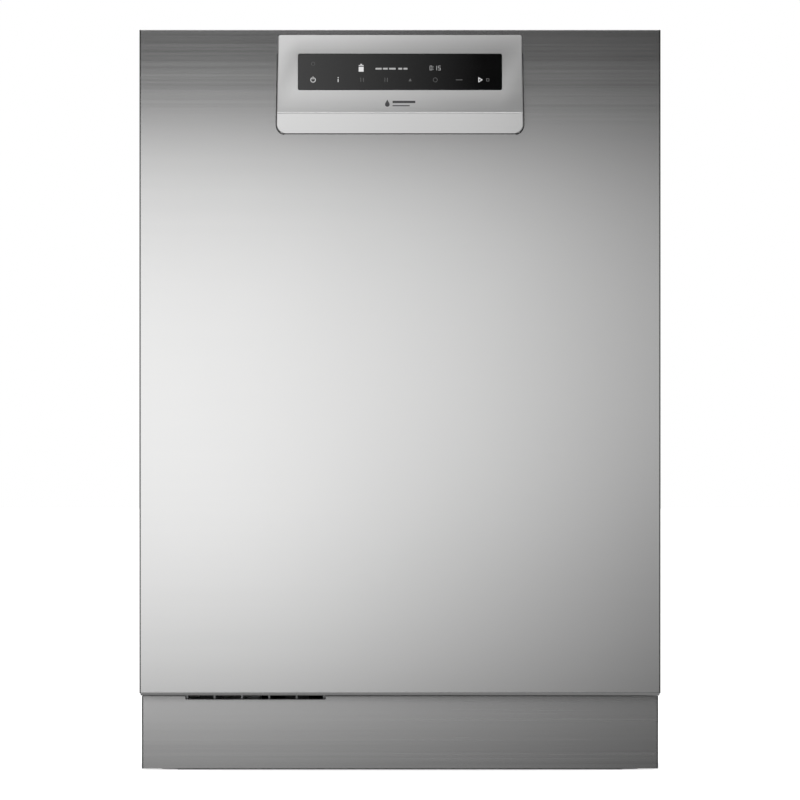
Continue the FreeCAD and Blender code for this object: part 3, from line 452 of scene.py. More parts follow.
def make_fascia():
    """Wedge-shaped control panel with a rounded ridge, an open window and a lip that is hollow behind."""
    heights = fascia_rows()
    verts = []
    for z in heights:
        verts += fascia_section(z, FACE_Y - 0.2 * MM)
    columns = len(verts) // len(heights)
    middle = columns // 2 - 1
    window_row = heights.index(WINDOW_LOW_Z)
    faces = grid_faces(len(heights), columns, skip={(window_row, middle)})
    base = len(verts)
    lip_rows = [FASCIA_LOW.z, FASCIA_LOW.z + 4 * MM, RIDGE_Z, RIDGE_Z + 15 * MM]
    for z in lip_rows:
        half = fascia_half(max(z, lip_rows[1])) - WALL
        y = fascia_front(z) + WALL
        verts += [(-half, y, z), (half, y, z)]
    for row in range(len(lip_rows) - 1):
        left = base + 2 * row
        faces.append((left, left + 1, left + 3, left + 2))
    faces.append(tuple(range(2, columns - 2)) + (base + 1, base))
    top = (len(heights) - 1) * columns
    faces.append(tuple(top + j for j in range(columns)))
    obj = piece("control_fascia_shell", verts, faces, "control_fascia")
    even_normals(smooth(thicken(obj, 0.8 * MM, -1.0), 22.0))


def make_window_corners():
    """Round inner corners of the fascia's window."""
    radius, steps, thickness = 2.3 * MM, 6, 0.5 * MM
    verts, faces = [], []
    for side in SIDES:
        for z, up in ((WINDOW_HIGH_Z, 1), (WINDOW_LOW_Z, -1)):
            base = len(verts)
            outline = [(side * WINDOW_HALF, z)]
            outline += [(side * (WINDOW_HALF - radius) + side * dx, z - up * radius + up * dz)
                        for dx, dz in arc((0, 0), radius, 0, 90, steps)]
            verts += [(x, fascia_front(height) + thickness / 2, height) for x, height in outline]
            faces += [(base, base + step, base + step + 1) for step in range(1, steps + 1)]
    thicken(piece("window_corners", verts, faces, "control_fascia", replaces=False), thickness)


def make_door_hem():
    """Rounded hem that closes the lower edge of the door skin."""
    low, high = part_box("door_panel")
    radius, drop, overlap = 4.0 * MM, 2.4 * MM, 2.2 * MM
    front = low.y - 0.02 * MM
    half = high.x - 1.2 * MM
    center = (front + radius, low.z - drop + radius)
    profile = [(front, low.z + overlap)]
    profile += arc(center, radius, 180, 270, 8)
    profile.append((center[0] + 0.5 * MM, low.z - drop + 0.3 * MM))
    verts = [(x, y, z) for x in (-half, half) for y, z in profile]
    obj = piece("door_hem", verts, grid_faces(2, len(profile)), "door_panel", replaces=False)
    even_normals(smooth(thicken(obj, 0.04 * MM), 40.0))


def make_glass():
    """Window glass with ground edges."""
    outline = rounded_rectangle((GLASS_LOW.x, GLASS_LOW.z), (GLASS_HIGH.x, GLASS_HIGH.z), 2.0 * MM, 5)
    middle = (GLASS_LOW.z + GLASS_HIGH.z) / 2
    half_width, half_height = GLASS_HIGH.x, (GLASS_HIGH.z - GLASS_LOW.z) / 2
    rings = mm((0.0, 2.0), (0.0, 0.45), (0.12, 0.2), (0.4, 0.06))
    verts = []
    for inset, depth in rings:
        for x, z in outline:
            height = middle + (z - middle) * (half_height - inset) / half_height
            verts.append((x * (half_width - inset) / half_width, fascia_front(height) + depth, height))
    count = len(outline)
    faces = ring_faces(len(rings), count)
    faces.append(tuple(range(len(verts) - count, len(verts))))
    faces.append(tuple(reversed(range(count))))
    even_normals(smooth(piece("display_glass_pane", verts, faces, "display_glass"), 60.0))


class Print:
    """Flat printed marks gathered into one mesh. Places are in mm, across from the middle and up from the
    floor."""

    def __init__(self, lift=0.03 * MM):
        self.lift = lift
        self.verts = []
        self.faces = []

    def shape(self, points):
        base = len(self.verts)
        self.verts += [(x * MM, fascia_front(z * MM) - self.lift, z * MM) for x, z in points]
        self.faces.append(tuple(range(base, base + len(points))))

    def bar(self, x0, x1, z0, z1):
        self.shape([(x0, z0), (x1, z0), (x1, z1), (x0, z1)])

    def ring(self, cx, cz, radius, width, start=0.0, end=360.0, steps=20):
        outer = arc((cx, cz), radius, start, end, steps)
        inner = arc((cx, cz), radius - width, start, end, steps)
        for i in range(steps):
            self.shape([outer[i], outer[i + 1], inner[i + 1], inner[i]])

    def frame(self, points, share):
        """Outline of a shape, with an opening that is a share of its size."""
        cx = sum(x for x, _ in points) / len(points)
        cz = sum(z for _, z in points) / len(points)
        inner = [(cx + (x - cx) * share, cz + (z - cz) * share) for x, z in points]
        for i, outer in enumerate(points):
            k = (i + 1) % len(points)
            self.shape([outer, points[k], inner[k], inner[i]])

    def dot(self, cx, cz, radius):
        self.shape(arc((cx, cz), radius, 0, 330, 11))

    def digit(self, x, z, width, height, segments):
        t = 0.55
        mid = z + height / 2
        bars = {"a": (x, x + width, z + height - t, z + height), "d": (x, x + width, z, z + t),
                "g": (x, x + width, mid - t / 2, mid + t / 2), "f": (x, x + t, mid, z + height),
                "e": (x, x + t, z, mid), "b": (x + width - t, x + width, mid, z + height),
                "c": (x + width - t, x + width, z, mid)}
        for name in segments:
            self.bar(*bars[name])

    def build(self, name, material, node="display_glass", slot=None):
        piece(name, self.verts, self.faces, node, slot=slot, replaces=False, material=material)


DIGITS = {"0": "abcdef", "1": "bc", "5": "afgcd"}


def make_symbols():
    """Row of key symbols, and above it a programme line of plain bars and a time."""
    bright = Print()
    row = 789.6
    bright.ring(-99.4, row, 3.0, 0.7, 120, 420)
    bright.bar(-99.8, -99.0, row + 0.6, row + 3.8)
    bright.bar(-71.2, -70.3, row - 2.6, row + 1.2)
    bright.dot(-70.75, row + 2.6, 0.6)
    bright.frame([(89.6, row - 3.0), (94.6, row), (89.6, row + 3.0)], 0.5)
    bright.bar(-47.2, -41.6, 799.0, 804.6)
    bright.bar(-47.2, -41.6, 805.6, 806.4)
    bright.bar(-45.4, -43.4, 806.8, 807.8)
    bright.build("key_symbols_bright", printed("lit_print", 0.5, 0.2))
    soft = Print()
    soft.digit(34.0, 800.6, 2.8, 5.2, DIGITS["0"])
    soft.dot(38.0, 801.8, 0.4)
    soft.dot(38.0, 804.4, 0.4)
    soft.digit(39.4, 800.6, 2.8, 5.2, DIGITS["1"])
    soft.digit(43.6, 800.6, 2.8, 5.2, DIGITS["5"])
    for start, end in ((-28.0, -21.0), (-19.5, -14.0), (-12.5, -5.0), (-2.0, 2.5), (4.0, 8.5)):
        soft.bar(start, end, 801.4, 803.4)
    soft.build("programme_bars", printed("soft_print", 0.3, 0.08))
    faint = Print()
    for x in (-45.2, -42.2, -17.6, -14.8):
        faint.bar(x, x + 0.7, row - 2.4, row + 2.4)
    faint.shape([(9.8, row - 1.6), (13.4, row - 1.6), (11.6, row + 1.8)])
    faint.bar(63.8, 71.4, row - 0.4, row + 0.4)
    for x0, x1 in ((98.6, 99.3), (101.3, 102.0)):
        faint.bar(x0, x1, row - 1.8, row + 1.8)
    faint.bar(98.6, 102.0, row + 1.2, row + 1.8)
    faint.bar(98.6, 102.0, row - 1.8, row - 1.2)
    faint.ring(40.3, row, 2.6, 0.5)
    faint.ring(-99.4, 808.0, 2.2, 0.4)
    faint.build("key_symbols_faint", printed("faint_print", 0.06, 0.03))


def make_mark():
    """Plain generic mark below the window: a drop and two bars."""
    mark = Print(lift=0.04 * MM)
    mark.shape(arc((-14.5, 761.4), 2.7, -200, 20, 12) + [(-14.5, 767.0)])
    mark.bar(-8.5, 17.5, 763.0, 765.6)
    mark.bar(-8.5, 11.0, 759.4, 760.6)
    ink = plastic("dark_print", (0.035, 0.035, 0.037), 0.4)
    mark.build("plain_mark", ink, node="control_fascia", slot="black_plastic")


def make_gap_painted_shade():
    """Dark sheet round the fascia, where its sides go into the door: painted shade that stands in for the
    shadow in the gap.
    """
    reach, cover = 1.1 * MM, 0.6 * MM
    width = reach + cover
    y = FACE_Y - 0.35 * MM
    heights = [z for z in fascia_rows() if z < FASCIA_HIGH.z - TOP_CORNER_R - 0.1 * MM]
    inner = [(fascia_half(z) - cover, z + (cover if z == heights[0] else 0)) for z in heights]
    ring = [(-half, z) for half, z in reversed(inner)] + inner
    verts = [(x, y, z) for x, z in ring]
    for x, z in ring:
        drop = width * max(0.0, 1 - (z - heights[0]) / LOW_CORNER_R)
        verts.append((x + math.copysign(width, x), y, z - drop))
    # Black sheet on the door face, painted shade of the gap round the fascia.
    obj = piece("fascia_gap_painted_shade", verts, grid_faces(2, len(ring)), "control_fascia", slot="black_plastic",
                replaces=False)
    thicken(obj, 0.3 * MM)


# ---------------------------------------------------------------- turned, bent and pressed parts

def turned(profile, center, axis, steps=40):
    """Rings of a turned shape: profile points are (distance along the axis, radius)."""
    across = [Vector((0, 1, 0)), Vector((0, 0, 1)), Vector((1, 0, 0))]["XYZ".index(axis)]
    along = [Vector((1, 0, 0)), Vector((0, 1, 0)), Vector((0, 0, 1))]["XYZ".index(axis)]
    up = along.cross(across)
    verts = []
    for distance, radius in profile:
        for step in range(steps):
            angle = 2 * math.pi * step / steps
            verts.append(Vector(center) + along * distance
                         + (across * math.cos(angle) + up * math.sin(angle)) * radius)
    return verts, ring_faces(len(profile), steps)


def merge(parts):
    """Joins lists of verts and faces into one."""
    verts, faces = [], []
    for part_verts, part_faces in parts:
        base = len(verts)
        verts += part_verts
        faces += [tuple(index + base for index in face) for face in part_faces]
    return verts, faces


def joined(name, parts, node, angle, **finish):
    """One smooth piece made of several shapes."""
    return smooth(piece(name, *merge(parts), node, **finish), angle)


def wires(name, paths, radius, node, closed=()):
    """Round wires swept as one mesh piece; loops whose index is in closed have no ends."""
    data = bpy.data.curves.new(name, "CURVE")
    data.dimensions = "3D"
    data.bevel_depth = radius
    data.bevel_resolution = 3
    data.use_fill_caps = True
    for index, path in enumerate(paths):
        spline = data.splines.new("POLY")
        points = [Vector(point) for point in path]
        radii = [1.0] * len(points)
        if index not in closed:
            for end, near in ((0, 1), (-1, -2)):
                along = (points[end] - points[near]).normalized()
                tip = points[end].copy()
                extra = [(tip - along * radius, 1.0), (tip - along * radius * 0.5, 0.86),
                         (tip - along * radius * 0.13, 0.5), (tip, 0.08)]
                if end == 0:
                    points = [place for place, _ in reversed(extra)] + points[1:]
                    radii = [value for _, value in reversed(extra)] + radii[1:]
                else:
                    points = points[:-1] + [place for place, _ in extra]
                    radii = radii[:-1] + [value for _, value in extra]
        spline.points.add(len(points) - 1)
        for target, place, value in zip(spline.points, points, radii):
            target.co = (*place, 1.0)
            target.radius = value
        spline.use_cyclic_u = index in closed
        spline.use_smooth = True
    sweep = add_object(name + "_sweep", data)
    swept = sweep.evaluated_get(bpy.context.evaluated_depsgraph_get())
    obj = add_object(name, bpy.data.meshes.new_from_object(swept))
    bpy.data.objects.remove(sweep)
    return settle(obj, node)


def bent(points, radius, steps=6):
    """Path through points with each inner corner rounded to a radius."""
    path = [Vector(points[0])]
    for before, corner, after in zip(points, points[1:], points[2:]):
        before, corner, after = Vector(before), Vector(corner), Vector(after)
        start = corner + (before - corner).normalized() * radius
        finish = corner + (after - corner).normalized() * radius
        for step in range(steps + 1):
            share = step / steps
            path.append(start * (1 - share) ** 2 + corner * 2 * share * (1 - share) + finish * share ** 2)
    path.append(Vector(points[-1]))
    return path


def ease(value):
    """Smooth step from 0 to 1."""
    value = max(0.0, min(1.0, value))
    return value * value * (3 - 2 * value)


def fine_lines(marks, low, high, coarse, reach, fine):
    """Grid positions between low and high, close together near the marks and at them."""
    lines = {round(low, 6), round(high, 6)}
    count = max(2, int((high - low) / coarse))
    lines |= {round(low + (high - low) * index / count, 6) for index in range(count + 1)}
    for mark in marks:
        steps = int(reach / fine)
        lines |= {round(mark + fine * step, 6) for step in range(-steps, steps + 1)
                  if low < mark + fine * step < high}
    kept = []
    for value in sorted(lines):
        if not kept or value - kept[-1] > 0.3 * MM:
            kept.append(value)
    return kept


def pressed_sheet(name, node, across, up, place, thickness, skip=None):
    """Pressed sheet over a grid; place(u, v) gives the point on its face."""
    verts = [place(u, v) for v in up for u in across]
    holes = set()
    if skip:
        for i in range(len(up) - 1):
            for j in range(len(across) - 1):
                if skip((across[j] + across[j + 1]) / 2, (up[i] + up[i + 1]) / 2):
                    holes.add((i, j))
    obj = piece(name, verts, grid_faces(len(up), len(across), holes), node)
    smooth(thicken(obj, thickness), 40.0)


def bead_height(u, v, low, high, width, corner):
    """How far a point is onto a pressed field with round corners, from 0 outside to 1 inside."""
    dx = max(low[0] + corner - u, u - high[0] + corner, 0.0)
    dz = max(low[1] + corner - v, v - high[1] + corner, 0.0)
    return ease((corner - math.hypot(dx, dz)) / width + 0.5)


# ---------------------------------------------------------------- inner door

def make_liner():
    """Pressed inner door with a dished field, round corners and a rolled rim."""
    low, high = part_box("door_liner")
    rim_y = high.y
    dish_depth = 10.0 * MM
    dish = mm((-235, 185), (235, 800))
    rim = 4.0 * MM
    thickness = 1.0 * MM
    latch_mouth, dispenser = (14, 809, 825), (78, 457, 603)
    openings = mm(latch_mouth, dispenser)

    def face(u, v):
        depth = dish_depth * bead_height(u, v, dish[0], dish[1], 9 * MM, 24 * MM)
        depth += corner_inset(min(u - low.x, high.x - u, v - low.z, high.z - v), rim)
        return (u, rim_y - thickness / 2 - depth, v)

    across = fine_lines([dish[0][0], dish[1][0], low.x, high.x], low.x, high.x, 30 * MM, 12 * MM, 1.5 * MM)
    across = sorted(set(across) | {side * half for half, _, _ in openings for side in SIDES})
    up = fine_lines([dish[0][1], dish[1][1], low.z, high.z], low.z, high.z, 30 * MM, 12 * MM, 1.5 * MM)
    up = sorted(set(up) | {edge for _, bottom, top in openings for edge in (bottom, top)})

    def open_cell(u, v):
        return any(abs(u) < half and bottom < v < top for half, bottom, top in openings)

    pressed_sheet("door_liner_face", "door_liner", across, up, face, thickness, open_cell)
    outline = rounded_rectangle((low.x, low.z), (high.x, high.z), 2.0 * MM, 5)
    verts = [(x, y, z) for y in (low.y, high.y - rim) for x, z in outline]
    skirt = piece("door_liner_rim", verts, ring_faces(2, len(outline)), "door_liner")
    smooth(thicken(skirt, thickness, -1.0), 40.0)


# ---------------------------------------------------------------- racks

WIRE_R = 2.2 * MM


def spread(low, high, count):
    """Evenly spaced values, both ends included."""
    return [low + (high - low) * index / (count - 1) for index in range(count)]


def make_rack(node, floor_z, rim_zs, tine_rows, tine_xs, tine_height):
    """Coated wire rack: floor grid, uprights bent under it, round-cornered rims and tines with round tips."""
    low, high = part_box(node)
    step = 2 * WIRE_R
    half = high.x - WIRE_R
    inner = half - step
    front, rear = low.y + 3 * WIRE_R, high.y - 3 * WIRE_R
    floor, uprights, tines = [], [], []
    for x in spread(-inner + step, inner - step, 13):
        floor.append([(x, front - WIRE_R, floor_z), (x, rear + WIRE_R, floor_z)])
    rows = spread(front + step, rear - step, 12)
    for y in rows:
        floor.append([(-inner - WIRE_R, y, floor_z + step), (inner + WIRE_R, y, floor_z + step)])
    top = rim_zs[0] + WIRE_R
    bend, foot = 5.0 * MM, 16.0 * MM
    for side in SIDES:
        for y in spread(front + 1.5 * step, rear - 1.5 * step, 8):
            uprights.append(bent([(side * half, y, top), (side * half, y, floor_z),
                                  (side * (half - foot), y, floor_z)], bend))
    for y, inward in ((front - step, 1), (rear + step, -1)):
        for x in spread(-inner + 1.5 * step, inner - 1.5 * step, 10):
            uprights.append(bent([(x, y, top), (x, y, floor_z), (x, y + inward * foot, floor_z)], bend))
    rim = rounded_rectangle((-inner, front), (inner, rear), 9.0 * MM, 6)
    rims = [[(x, y, z) for x, y in rim] for z in rim_zs]
    for row in tine_rows:
        for x in tine_xs:
            base = floor_z + 3 * WIRE_R
            tines.append([(x, rows[row], base), (x, rows[row], base + tine_height)])
    wires(node + "_grid", floor, WIRE_R, node)
    wires(node + "_uprights", uprights, WIRE_R, node)
    wires(node + "_rims", rims, WIRE_R, node, closed=range(len(rims)))
    wires(node + "_tines", tines, 1.8 * MM, node)


def make_folding_tines():
    """Folding tine row: a shaft with upright tines."""
    low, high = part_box("folding_tines")
    radius = 1.9 * MM
    y, z = (low.y + high.y) / 2, low.z + radius
    paths = [[(low.x, y, z), (high.x, y, z)]]
    for x in spread(low.x + 8 * MM, high.x - 8 * MM, 9):
        paths.append([(x, y, z), (x, y, high.z)])
    wires("folding_tine_wires", paths, radius, "folding_tines")


def make_wheels(node):
    """Moulded rack wheels with a rounded tread, a hub, and a recessed web that carries six pins."""
    low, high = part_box(node)
    radius = (high.z - low.z) / 2
    y, z = (low.y + high.y) / 2, (low.z + high.z) / 2
    inner, outer = 250.5 * MM, high.x
    width = outer - inner
    bore, hub, recess, pin_circle = 4.1 * MM, 6.6 * MM, 4.0 * MM, 9.6 * MM
    tread = [(0, radius - 3 * MM), (0.6 * MM, radius - 1.6 * MM), (1.8 * MM, radius - 0.4 * MM),
             (3.2 * MM, radius)]
    profile = [(0, bore)] + tread + [(width - distance, r) for distance, r in reversed(tread)]
    profile += [(width - 0.2 * MM, radius - 3.8 * MM), (width - recess, radius - 4.2 * MM),
                (width - recess, hub), (width - 0.4 * MM, hub - 0.2 * MM), (width, hub - 0.6 * MM),
                (width, bore), (0, bore)]
    pin = mm((0, 0), (0, 1.1), (2.6, 1.0), (3.0, 0.6), (3.0, 0))
    parts = []
    for side in SIDES:
        parts.append(turned([(side * distance, r) for distance, r in profile], (side * inner, y, z), "X"))
        for dy, dz in arc((0, 0), pin_circle, 0, 300, 5):
            parts.append(turned([(side * distance, r) for distance, r in pin],
                                (side * (outer - recess), y + dy, z + dz), "X", 12))
    joined(node + "_moulded", parts, node, 32.0)


def make_arm(node):
    """Blow-moulded spray arm: oval tapered blades with raised nozzles, and a round hub."""
    low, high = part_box(node)
    hub_y = (low.y + high.y) / 2
    blade = 12.0 * MM
    root_half, tip_half = 27 * MM, 17 * MM
    round_from, round_length = 0.93, 0.0705
    sections, around = 25, 24
    verts = []
    for share in spread(-1, 1, sections):
        half = root_half + (tip_half - root_half) * abs(share)
        tip = 1.0
        if abs(share) > round_from:
            tip = math.sqrt(max(0.0, 1 - ((abs(share) - round_from) / round_length) ** 2))
        for j in range(around):
            angle = 2 * math.pi * j / around
            cy, cz = math.cos(angle), math.sin(angle)
            py = math.copysign(abs(cy) ** 0.6, cy) * half * tip
            pz = math.copysign(abs(cz) ** 0.55, cz) * blade / 2 * max(tip, 0.05)
            verts.append((share * high.x, hub_y + py, low.z + blade / 2 + pz))
    faces = ring_faces(sections, around)
    faces.append(tuple(range(around)))
    faces.append(tuple(range(len(verts) - around, len(verts))))
    height, bore, hub_r = high.z - low.z, 12.6 * MM, 30 * MM
    hub = [(0, bore), (0, hub_r - 1 * MM), (0.8 * MM, hub_r), (height - 1.0 * MM, hub_r),
           (height, hub_r - 1.4 * MM), (height, 19 * MM), (height - 1.2 * MM, 18 * MM),
           (height - 1.2 * MM, bore), (0, bore)]
    nozzle = mm((0, 5.6), (0.7, 5.2), (1.0, 4.4), (1.0, 1.8), (-1.5, 1.4), (-1.5, 0))
    parts = [(verts, faces), turned(hub, (0, hub_y, low.z), "Z")]
    for side in SIDES:
        for index in range(6):
            place = (side * (60 + 27 * index) * MM, hub_y + side * 6 * MM, low.z + blade - 0.2 * MM)
            parts.append(turned(nozzle, place, "Z", 20))
    joined(node + "_moulded", parts, node, 38.0)


def make_springs():
    """Wound balance springs with hooks at both ends."""
    low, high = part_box("door_springs")
    wire, outer_radius = 1.5 * MM, 9 * MM
    coil_radius = outer_radius - wire
    z = (low.z + high.z) / 2
    start, finish = low.y + 26 * MM, high.y - 26 * MM
    turns, steps = 40, 16
    hook = ((0, 0), (14 * MM, 0), (22 * MM, coil_radius * 0.6))
    paths = []
    for side in SIDES:
        x = side * (high.x - outer_radius)
        path = [(x, low.y + along, z + rise) for along, rise in hook]
        for index in range(turns * steps + 1):
            angle = 2 * math.pi * index / steps + math.pi / 2
            y = start + (finish - start) * index / (turns * steps)
            path.append((x + coil_radius * math.cos(angle), y, z + coil_radius * math.sin(angle)))
        path += [(x, high.y - along, z + rise) for along, rise in reversed(hook)]
        paths.append(path)
    wires("balance_spring_coils", paths, wire, "door_springs")


# ---------------------------------------------------------------- cabinet sheets

SHEET = 0.8 * MM
BEAD = 1.1 * MM


def field_marks(fields, axis, inset=0.0):
    """Places along one direction where pressed fields, and the fields inside them, begin and end."""
    return [place for low, high in fields
            for place in (low[axis], low[axis] + inset, high[axis], high[axis] - inset)]


def make_side_panel(side):
    """Side wall with beads pressed round three fields and a cut-back lower front corner."""
    node = SIDE_PANELS[side]
    low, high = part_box(node)
    outside = high.x if side > 0 else -low.x
    bead_width = 14 * MM
    notch_y, notch_z = -204.5 * MM, 180 * MM
    fields = [mm((-150, 250), (20, 790)), mm((60, 250), (225, 790)), mm((-150, 110), (225, 200))]

    def face(u, v):
        depth = max(bead_height(u, v, a, b, 6 * MM, 18 * MM) for a, b in fields)
        inner = max(bead_height(u, v, (a[0] + bead_width, a[1] + bead_width),
                                (b[0] - bead_width, b[1] - bead_width), 6 * MM, 10 * MM) for a, b in fields)
        return (side * (outside - SHEET / 2 - BEAD * (depth - inner)), u, v)

    across = fine_lines(field_marks(fields, 0, bead_width), low.y, high.y, 30 * MM, 5 * MM, 1.7 * MM)
    across = sorted(set(across) | {notch_y})
    up = fine_lines(field_marks(fields, 1, bead_width), low.z, high.z, 30 * MM, 5 * MM, 1.7 * MM)
    up = sorted(set(up) | {notch_z})
    pressed_sheet(node + "_pressed", node, across, up, face, SHEET, lambda u, v: u < notch_y and v < notch_z)


def make_back_panel():
    """Rear wall with four pressed fields, which leave a cross between them."""
    low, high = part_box("back_panel")
    fields = [mm((left, bottom), (right, top)) for bottom, top in ((200, 470), (520, 800))
              for left, right in ((-250, -20), (20, 250))]

    def face(u, v):
        depth = max(bead_height(u, v, a, b, 6 * MM, 22 * MM) for a, b in fields)
        return (u, high.y - SHEET / 2 - BEAD * depth, v)

    across = fine_lines(field_marks(fields, 0), low.x, high.x, 30 * MM, 6 * MM, 1.7 * MM)
    up = fine_lines(field_marks(fields, 1), low.z, high.z, 30 * MM, 6 * MM, 1.7 * MM)
    pressed_sheet("back_panel_pressed", "back_panel", across, up, face, SHEET)


def screw_shape(center, axis, sign, radius=3.6 * MM, height=1.6 * MM):
    """Pan-head screw with a recess, standing out along an axis."""
    rise = sign * height
    profile = [(0, radius), (rise * 0.4, radius), (rise * 0.85, radius * 0.72), (rise, radius * 0.45),
               (rise, radius * 0.3), (rise * 0.3, radius * 0.18), (rise * 0.3, 0.0)]
    return turned(profile, center, axis, 20)


def make_screws():
    """Sheet screws along the edges of the side and rear walls."""
    back_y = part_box("back_panel")[1].y
    places = [(x, z) for x in (-285, -95, 95, 285) for z in (158, 838)]
    places += [(x, z) for x in (-285, 285) for z in (330, 500, 670)]
    parts = [screw_shape((x * MM, back_y, z * MM), "Y", 1) for x, z in places]
    joined("rear_wall_screws", parts, "back_panel", 40.0, slot="zinc_steel", replaces=False)
    for side, node in SIDE_PANELS.items():
        low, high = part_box(node)
        outside = (high.x if side > 0 else low.x) - side * SHEET / 2
        parts = [screw_shape((outside, y * MM, z * MM), "X", side, 3.4 * MM, 1.4 * MM)
                 for y in (-190, 255) for z in (205, 420, 630, 832)]
        joined(node + "_screws", parts, node, 40.0, slot="zinc_steel", replaces=False)


# ---------------------------------------------------------------- feet and connections

def thread_rings(center, axis, start, finish, radius, pitch):
    """Screw thread, made as close rings along an axis."""
    profile = [(start, radius - pitch * 0.5)]
    count = int((finish - start) / pitch)
    for index in range(count):
        place = start + pitch * index
        profile += [(place + pitch * 0.25, radius), (place + pitch * 0.45, radius),
                    (place + pitch * 0.8, radius - pitch * 0.5)]
    profile.append((finish, radius - pitch * 0.6))
    return turned(profile, center, axis, 28)


def make_foot(node):
    """Screw foot: pad with a circle of studs, hexagon and threaded stem."""
    low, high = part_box(node)
    center = ((low.x + high.x) / 2, (low.y + high.y) / 2, low.z)
    radius, height = (high.x - low.x) / 2, high.z - low.z
    pad = [(0, 0.0), (0, radius - 2.0 * MM), (0.8 * MM, radius - 0.4 * MM), (2.0 * MM, radius),
           (3.4 * MM, radius), (4.6 * MM, radius - 1.2 * MM), (5.0 * MM, radius - 3.0 * MM), (5.0 * MM, 0.0)]
    hexagon = mm((5.0, 9.6), (5.2, 10.0), (8.6, 10.0), (9.0, 9.4), (9.0, 0))
    point = [(height - 1.0 * MM, 4.2 * MM), (height, 3.2 * MM), (height, 0.0)]
    stud = mm((4.6, 1.3), (5.8, 1.1), (6.2, 0.6), (6.2, 0))
    parts = [turned(pad, center, "Z", 48), turned(hexagon, center, "Z", 6),
             thread_rings(center, "Z", 9.0 * MM, height - 1.0 * MM, 5.0 * MM, 1.5 * MM),
             turned(point, center, "Z", 28)]
    for x, y in arc(center, 14.5 * MM, 0, 337.5, 15):
        parts.append(turned(stud, (x, y, low.z), "Z", 10))
    joined(node + "_moulded", parts, node, 32.0)


def make_connections():
    """Thread of the water inlet, barbs of the drain spigot and the nut of the mains gland."""

    def rear_end(node, x, z):
        return (x * MM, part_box(node)[1].y, z * MM)

    inlet = rear_end("inlet_valve", -210, 92)
    thread = thread_rings(inlet, "Y", -14 * MM, -0.3 * MM, 13.2 * MM, 1.8 * MM)
    joined("inlet_thread", [thread], "inlet_valve", 30.0, replaces=False)
    spigot = rear_end("drain_spigot", -150, 118)
    barbs = [turned(mm((start, 9.8), (start, 10.9), (start + 2.8, 9.8)), spigot, "Y", 32)
             for start in (-13, -9, -5)]
    joined("drain_barbs", barbs, "drain_spigot", 30.0, replaces=False)
    gland = rear_end("terminal_box", 200, 97)
    nut = turned(mm((-11, 9.0), (-11, 12.0), (-10, 12.6), (-5, 12.6), (-4, 12.0), (-4, 9.0)), gland, "Y", 6)
    joined("gland_nut", [nut], "terminal_box", 30.0, replaces=False)


# ---------------------------------------------------------------- tub details

def make_tub_fillets():
    """Large round inner corners of the wash tub: round three sides of its ceiling and up its rear corners."""
    half, front, back = 275 * MM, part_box("tub")[0].y + 1 * MM, 250 * MM
    floor, ceiling = 171.7 * MM, 835 * MM
    radius, steps = 22 * MM, 8
    verts, faces = [], []

    def strip(make, ends):
        base = len(verts)
        for end in ends:
            for step in range(steps + 1):
                angle = math.radians(90 * step / steps)
                verts.append(make(end, radius * (1 - math.sin(angle)), radius * (1 - math.cos(angle))))
        for step in range(steps):
            faces.append((base + step, base + step + 1, base + steps + 2 + step, base + steps + 1 + step))

    for side in SIDES:
        strip(lambda y, a, b, s=side: (s * (half - a), y, ceiling - b), (front, back))
        strip(lambda z, a, b, s=side: (s * (half - a), back - b, z), (floor, ceiling))
    strip(lambda x, a, b: (x, back - a, ceiling - b), (-half, half))
    smooth(piece("tub_round_corners", verts, faces, "tub", replaces=False), 60.0)


def make_filter_rims():
    """Raised outer and inner rim of the fine filter plate."""
    low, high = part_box("filter_plate")
    center = (0, (low.y + high.y) / 2, high.z)
    outer = mm((0, 80), (0.8, 80.4), (0.8, 83.2), (0, 84))
    inner = mm((0, 36.4), (0.6, 36.8), (0.6, 39.0), (0, 40))
    parts = [turned(outer, center, "Z", 64), turned(inner, center, "Z", 48)]
    joined("filter_rims", parts, "filter_plate", 40.0, slot="grey_plastic", replaces=False)


# ---------------------------------------------------------------- stage

def level_along(nodes, links, place, stops):
    """Brightness that follows stops of (metres, level) along one direction."""
    low, high = stops[0][0], stops[-1][0]
    scale = add_node(nodes, "MapRange", From_Min=low, From_Max=high)
    links.new(place, scale.inputs["Value"])
    ramp = add_node(nodes, "ValToRGB")
    links.new(scale.outputs["Result"], ramp.inputs["Fac"])
    elements = ramp.color_ramp.elements
    for _ in stops[2:]:
        elements.new(0.5)
    for element, (place_m, level) in zip(elements, stops):
        element.position = (place_m - low) / (high - low)
        element.color = (level, level, level, 1.0)
    return ramp.outputs["Color"]


def rectangle(name, corners):
    """Flat object of the stage with four corners."""
    mesh = bpy.data.meshes.new(name)
    mesh.from_pydata(corners, [], [(0, 1, 2, 3)])
    return add_object(name, mesh)


